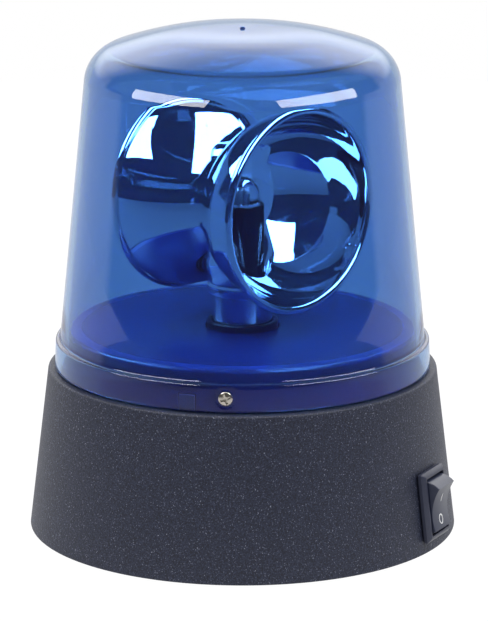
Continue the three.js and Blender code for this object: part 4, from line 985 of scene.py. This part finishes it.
def rockerOutline():
    radius, steps = switch["rockerRadius"], switch["faceSteps"]
    end, topZ = rockerEnd()
    along = [-topZ + 2 * topZ * i / steps for i in range(steps + 1)]
    side = degrees(acos(end / radius))
    foot = degrees(acos(-switch["heel"] / radius))
    top = arcPoints(0, 0, radius, side, foot, switch["sideSteps"])[1:]
    bottom = arcPoints(0, 0, radius, -foot, -side, switch["sideSteps"])[:-1]
    tail = [(-switch["tailReach"], switch["tailHalf"]), (-switch["tailReach"], -switch["tailHalf"])]
    return [(rockerFace(z), z) for z in along] + top + tail + bottom


# Off: the key's top end stands out
def rockerPlace():
    front = switch["seat"] + switch["bezelThick"]
    return (switchFrame() @ shift(front - switch["pivot"], 0, 0)
            @ Matrix.Rotation(radians(switch["throw"] / 2), 4, "Y"))


def makeRocker():
    half, edge = switch["rockerWide"] / 2, switch["rockerEdge"]
    body = bmesh.new()
    outline = rockerOutline()
    loops = []
    for y, inset in [(-half, edge), (-half + edge, 0), (half - edge, 0), (half, edge)]:
        share = 1 - inset / switch["rockerRadius"]
        loops.append([body.verts.new((x * share, y, z * share)) for x, z in outline])
    bridge(body, zip(loops, loops[1:]))
    body.faces.new(list(reversed(loops[0])))
    body.faces.new(loops[-1])
    piece = pieceFrom("switch_key", placed(body, rockerPlace()), "rocker", switch["sharp"])
    return settle(piece, "rocker", "black_gloss", "switch_rocker")


# Pad-printed marks on the key, which follow its hollow face: half width, half height and stroke
marks = {
    "proud": 0.05, "segments": 40,
    "mark_off": {"inner": (0.85, 1.15), "outer": (1.2, 1.5), "middle": -4.0},
    "mark_on": {"inner": (0.05, 1.15), "outer": (0.24, 1.4), "middle": 2.6},
}


def makeMark(name):
    mark = marks[name]
    body = bmesh.new()
    rows = []
    for lift in (-marks["proud"], marks["proud"]):
        for wide, tall in (mark["inner"], mark["outer"]):
            row = []
            for i in range(marks["segments"]):
                angle = 2 * pi * i / marks["segments"]
                z = mark["middle"] + tall * sin(angle)
                row.append(body.verts.new((rockerFace(z) + lift, wide * cos(angle), z)))
            rows.append(row)
    lowIn, lowOut, highIn, highOut = rows
    bridge(body, [(highIn, highOut), (highOut, lowOut), (lowOut, lowIn), (lowIn, highIn)])
    settle(pieceFrom(name, placed(body, rockerPlace()), "mark"), "rocker", "black_gloss")


makeSwitchBody()
makeRocker()
makeMark("mark_off")
makeMark("mark_on")
print("switch made")


# The frame's own pieces keep their shape and take a finish
cadFinishes = {
    "cover": ["bottom_cover", "battery_door", "chassis_plate"],
    "sleeve": ["battery_cell_1", "battery_cell_2", "battery_cell_3"],
    "steel": ["contact_positive", "contact_bridge_front", "contact_bridge_rear", "contact_negative",
              "led_leg_anode", "led_leg_cathode", "thrust_washer", "idler_pin", "motor_can", "motor_shaft",
              "motor_screw_1", "motor_screw_2", "chassis_screw_1", "chassis_screw_2", "chassis_screw_3"],
    "whiteGear": ["idler_gear", "motor_cap"],
    "brass": ["motor_pinion", "switch_terminal_upper", "switch_terminal_lower"],
}
for finish, names in cadFinishes.items():
    for name in names:
        node = frame["nodes"][name]
        node.data.materials.clear()
        node.data.materials.append(materials[finish])
print("finishes given to the frame's pieces")


# Studio, with angles in degrees and the room in metres. Strength 1 shows as pure white. A patch of
# the room has a half angle round the back and two heights, and a light's azimuth is measured from
# the camera's.
studio = {
    "white": 0.8, "dark": 0.09,
    "floorRadius": 0.7, "floorSegments": 96, "floorAlbedo": "#3c3d40", "floorRoughness": 0.9,
    "floorFront": 0.42, "floorFadeFrom": -0.4, "floorFadeTo": 0.0, "floorFrom": -9, "floorSoft": 1,
    "sweep": {"half": 83, "halfFade": 5, "low": -85, "lowFade": 3, "top": 5, "topFade": 2},
    "sweepHigh": {"half": 62, "halfFade": 4, "low": -85, "lowFade": 3, "top": 20, "topFade": 2},
    "back": {"half": 50, "halfFade": 15, "low": 9, "lowFade": 8, "top": 42, "topFade": 15},
    "backStrength": 2.3, "bounces": 24, "glossyBounces": 12,
    "panelRise": 0.8, "panelStrength": 30, "panelAgain": 0.42, "panelWalls": 3, "panelMirrors": 1.5,
    # corners of the overhead panels, to the camera's right and towards it, in panel rises
    "panels": [
        [(-0.95, 0.90), (-2.60, -0.20), (-2.20, -1.30), (-0.42, -0.35)],
        [(0.38, 2.00), (2.30, 2.10), (0.74, 0.20), (1.12, -1.00), (0.78, -1.00), (0.14, -0.30)],
    ],
    "stripDistance": 1.2,
    "strips": [
        {"azimuth": -56, "elevation": 16, "wide": 1.36, "tall": 0.48, "strength": 12, "dome": True},
        {"azimuth": 58, "elevation": 16, "wide": 1.46, "tall": 0.48, "strength": 12, "dome": True},
        {"azimuth": -72, "elevation": 44, "wide": 1.3, "tall": 0.5, "strength": 3.6, "dome": False},
        {"azimuth": 72, "elevation": 44, "wide": 1.3, "tall": 0.5, "strength": 3.6, "dome": False},
        {"azimuth": 0, "elevation": 74, "wide": 1.8, "tall": 0.4, "strength": 4.5, "dome": False},
    ],
}
frontWay = heading(camera["azimuth"])
rightWay = heading(camera["azimuth"] + 90)
backWay = heading(camera["azimuth"] + 180)


# Strength of a white surface: pure white to the camera, a given strength to everything else
def whiteFor(tree, strength):
    path = addNode(tree, "LightPath")
    return addNode(tree, "Math", {"operation": "MAXIMUM"}, _0=path.outputs["Is Camera Ray"],
                   _1=strength).outputs[0]


# Adds a chain of nodes, row by row: a result's name, its operation and the two values it takes,
# which may be names of earlier results. The last result is given back.
def addChain(tree, kind, sockets, rows):
    for name, operation, first, second in rows:
        sockets[name] = addNode(tree, kind, {"operation": operation}, _0=sockets.get(first, first),
                                _1=sockets.get(second, second)).outputs[0]
    return sockets[name]


# Pale floor that glows like the backdrop, and less towards the camera
def addFloor():
    body = bmesh.new()
    bmesh.ops.create_circle(body, cap_ends=True, radius=studio["floorRadius"] / metre,
                            segments=studio["floorSegments"])
    made, tree, shader = startMaterial(
        "paleFloor", Roughness=studio["floorRoughness"], Specular_IOR_Level=0.0,
        Base_Color=linear(studio["floorAlbedo"]), Emission_Color=(1, 1, 1, 1))
    place = addNode(tree, "NewGeometry").outputs["Position"]
    depth = addNode(tree, "VectorMath", {"operation": "DOT_PRODUCT"},
                    _0=place, _1=backWay).outputs["Value"]
    glow = addNode(tree, "MapRange", Value=depth,
                   From_Min=studio["floorFadeFrom"], From_Max=studio["floorFadeTo"],
                   To_Min=studio["floorFront"], To_Max=studio["white"]).outputs[0]
    tree.links.new(whiteFor(tree, glow), shader.inputs["Emission Strength"])
    materials["floor"] = made
    pieceFrom("floor", body, "floor")


# Overhead panels: only rays that have passed in and out of the dome see them, so that they show in
# the bowls and not on the dome, and more faintly after a second mirror
def addPanel(name, corners):
    body = bmesh.new()
    rise = studio["panelRise"] / metre
    spots = [rightWay * aside * rise + frontWay * ahead * rise + Vector((0, 0, rise + bowlCentre))
             for aside, ahead in corners]
    body.faces.new([body.verts.new(spot) for spot in spots])
    made, tree, shader = startMaterial("panelGlow", Emission_Color=(1, 1, 1, 1))
    path = addNode(tree, "LightPath")
    again = addNode(tree, "Math", {"operation": "GREATER_THAN"},
                    _0=path.outputs["Glossy Depth"], _1=studio["panelMirrors"]).outputs[0]
    share = addNode(tree, "MapRange", Value=again,
                    To_Min=1.0, To_Max=studio["panelAgain"]).outputs[0]
    sockets = {"walls": path.outputs["Transmission Depth"], "share": share}
    glow = addChain(tree, "Math", sockets, [
        ("inside", "GREATER_THAN", "walls", studio["panelWalls"]),
        ("seen", "MULTIPLY", "inside", "share"),
        ("glow", "MULTIPLY", "seen", studio["panelStrength"]),
    ])
    tree.links.new(glow, shader.inputs["Emission Strength"])
    materials["panel"] = made
    panel = pieceFrom(name, body, "panel")
    for kind in ("camera", "glossy", "diffuse", "shadow"):
        setattr(panel, f"visible_{kind}", False)


# Strip lights: two low ones draw the bars on the dome's shoulder and light nothing else. Three high
# ones light all but the dome, the reflector and the post. None is seen through the dome.
def addStrip(name, place):
    light = bpy.data.lights.new(name, "AREA")
    light.shape = "RECTANGLE"
    light.size = place["wide"]
    light.size_y = place["tall"]
    light.energy = place["strength"] * place["wide"] * place["tall"] * pi
    obj = addObject(name, light)
    way = heading(camera["azimuth"] + place["azimuth"])
    rise = radians(place["elevation"])
    spot = way * cos(rise) + Vector((0, 0, sin(rise)))
    obj.location = spot * studio["stripDistance"] + Vector((0, 0, domeHigh.z * metre))
    obj.rotation_euler = spot.to_track_quat("Z", "Y").to_euler()
    obj.visible_camera = False
    obj.visible_transmission = False
    obj.visible_diffuse = not place["dome"]
    obj.light_linking.receiver_collection = receivers[place["dome"]]


# A patch of the room round the back: within a half angle of it, between two heights, with soft edges
def roomPatch(tree, depth, height, patch):
    half, low, top = patch["half"], patch["low"], patch["top"]
    halfFade, lowFade, topFade = patch["halfFade"], patch["lowFade"], patch["topFade"]
    edges = [
        (depth, cos(radians(half + halfFade)), cos(radians(half - halfFade))),
        (height, sin(radians(low - lowFade)), sin(radians(low + lowFade))),
        (height, sin(radians(top + topFade)), sin(radians(top - topFade))),
    ]
    aside, over, under = [
        addNode(tree, "MapRange", {"interpolation_type": "SMOOTHSTEP"},
                Value=value, From_Min=start, From_Max=end, To_Min=0.0, To_Max=1.0).outputs[0]
        for value, start, end in edges]
    return addChain(tree, "Math", {"aside": aside, "over": over, "under": under}, [
        ("tall", "MULTIPLY", "over", "under"),
        ("patch", "MULTIPLY", "aside", "tall"),
    ])


# A white sweep behind and a bright light above it, in a dark room. Rays that come out through the
# dome don't see that light, and those that go straight through it see plain white.
def buildWorld():
    world = bpy.data.worlds.new("studioRoom")
    bpy.context.scene.world = world
    world.use_nodes = True
    tree = world.node_tree
    place = addNode(tree, "TexCoord").outputs["Generated"]
    flat = addNode(tree, "VectorMath", {"operation": "MULTIPLY"},
                   _0=place, _1=(1, 1, 0)).outputs[0]
    level = addNode(tree, "VectorMath", {"operation": "NORMALIZE"}, _0=flat).outputs[0]
    depth = addNode(tree, "VectorMath", {"operation": "DOT_PRODUCT"},
                    _0=level, _1=backWay).outputs["Value"]
    height = addNode(tree, "SeparateXYZ", Vector=place).outputs["Z"]
    low, soft = studio["floorFrom"], studio["floorSoft"]
    floor = addNode(tree, "MapRange", {"interpolation_type": "SMOOTHSTEP"}, Value=height,
                    From_Min=sin(radians(low + soft)), From_Max=sin(radians(low - soft)),
                    To_Min=0.0, To_Max=1.0).outputs[0]
    path = addNode(tree, "LightPath")
    sockets = {name: roomPatch(tree, depth, height, studio[name]) for name in ("sweep", "sweepHigh", "back")}
    sockets.update({"floor": floor, "through": path.outputs["Is Transmission Ray"],
                    "glossy": path.outputs["Glossy Depth"], "diffuse": path.outputs["Diffuse Depth"]})
    lit = addChain(tree, "Math", sockets, [
        ("outside", "SUBTRACT", 1, "through"),
        ("backSeen", "MULTIPLY", "back", "outside"),
        ("glow", "MULTIPLY", "backSeen", studio["backStrength"]),
        ("bounced", "ADD", "glossy", "diffuse"),
        ("unbounced", "LESS_THAN", "bounced", 0.5),
        ("straight", "MULTIPLY", "unbounced", "through"),
        ("sweeps", "MAXIMUM", "sweep", "sweepHigh"),
        ("around", "MAXIMUM", "sweeps", "floor"),
        ("white", "MAXIMUM", "around", "straight"),
        ("backdrop", "MULTIPLY", "white", studio["white"]),
        ("bright", "MAXIMUM", "backdrop", "glow"),
        ("lit", "MAXIMUM", "bright", studio["dark"]),
    ])
    tree.links.new(whiteFor(tree, lit), tree.nodes["Background"].inputs["Strength"])
    tree.nodes["Background"].inputs["Color"].default_value = (1, 1, 1, 1)


addFloor()
receivers = {True: bpy.data.collections.new("dome_only"), False: bpy.data.collections.new("base_only")}
for obj in bpy.data.objects:
    if obj.type == "MESH" and obj.name not in ("reflector_horn", "post_tube"):
        receivers[obj.name == "dome_shell"].objects.link(obj)
for index, corners in enumerate(studio["panels"]):
    addPanel(f"panel_{index + 1}", corners)
for index, strip in enumerate(studio["strips"]):
    addStrip(f"strip_{index + 1}", strip)
buildWorld()

scene = bpy.context.scene
scene.view_settings.view_transform = "Standard"
scene.cycles.max_bounces = studio["bounces"]
scene.cycles.transmission_bounces = studio["bounces"]
scene.cycles.glossy_bounces = studio["glossyBounces"]
print("studio lit")
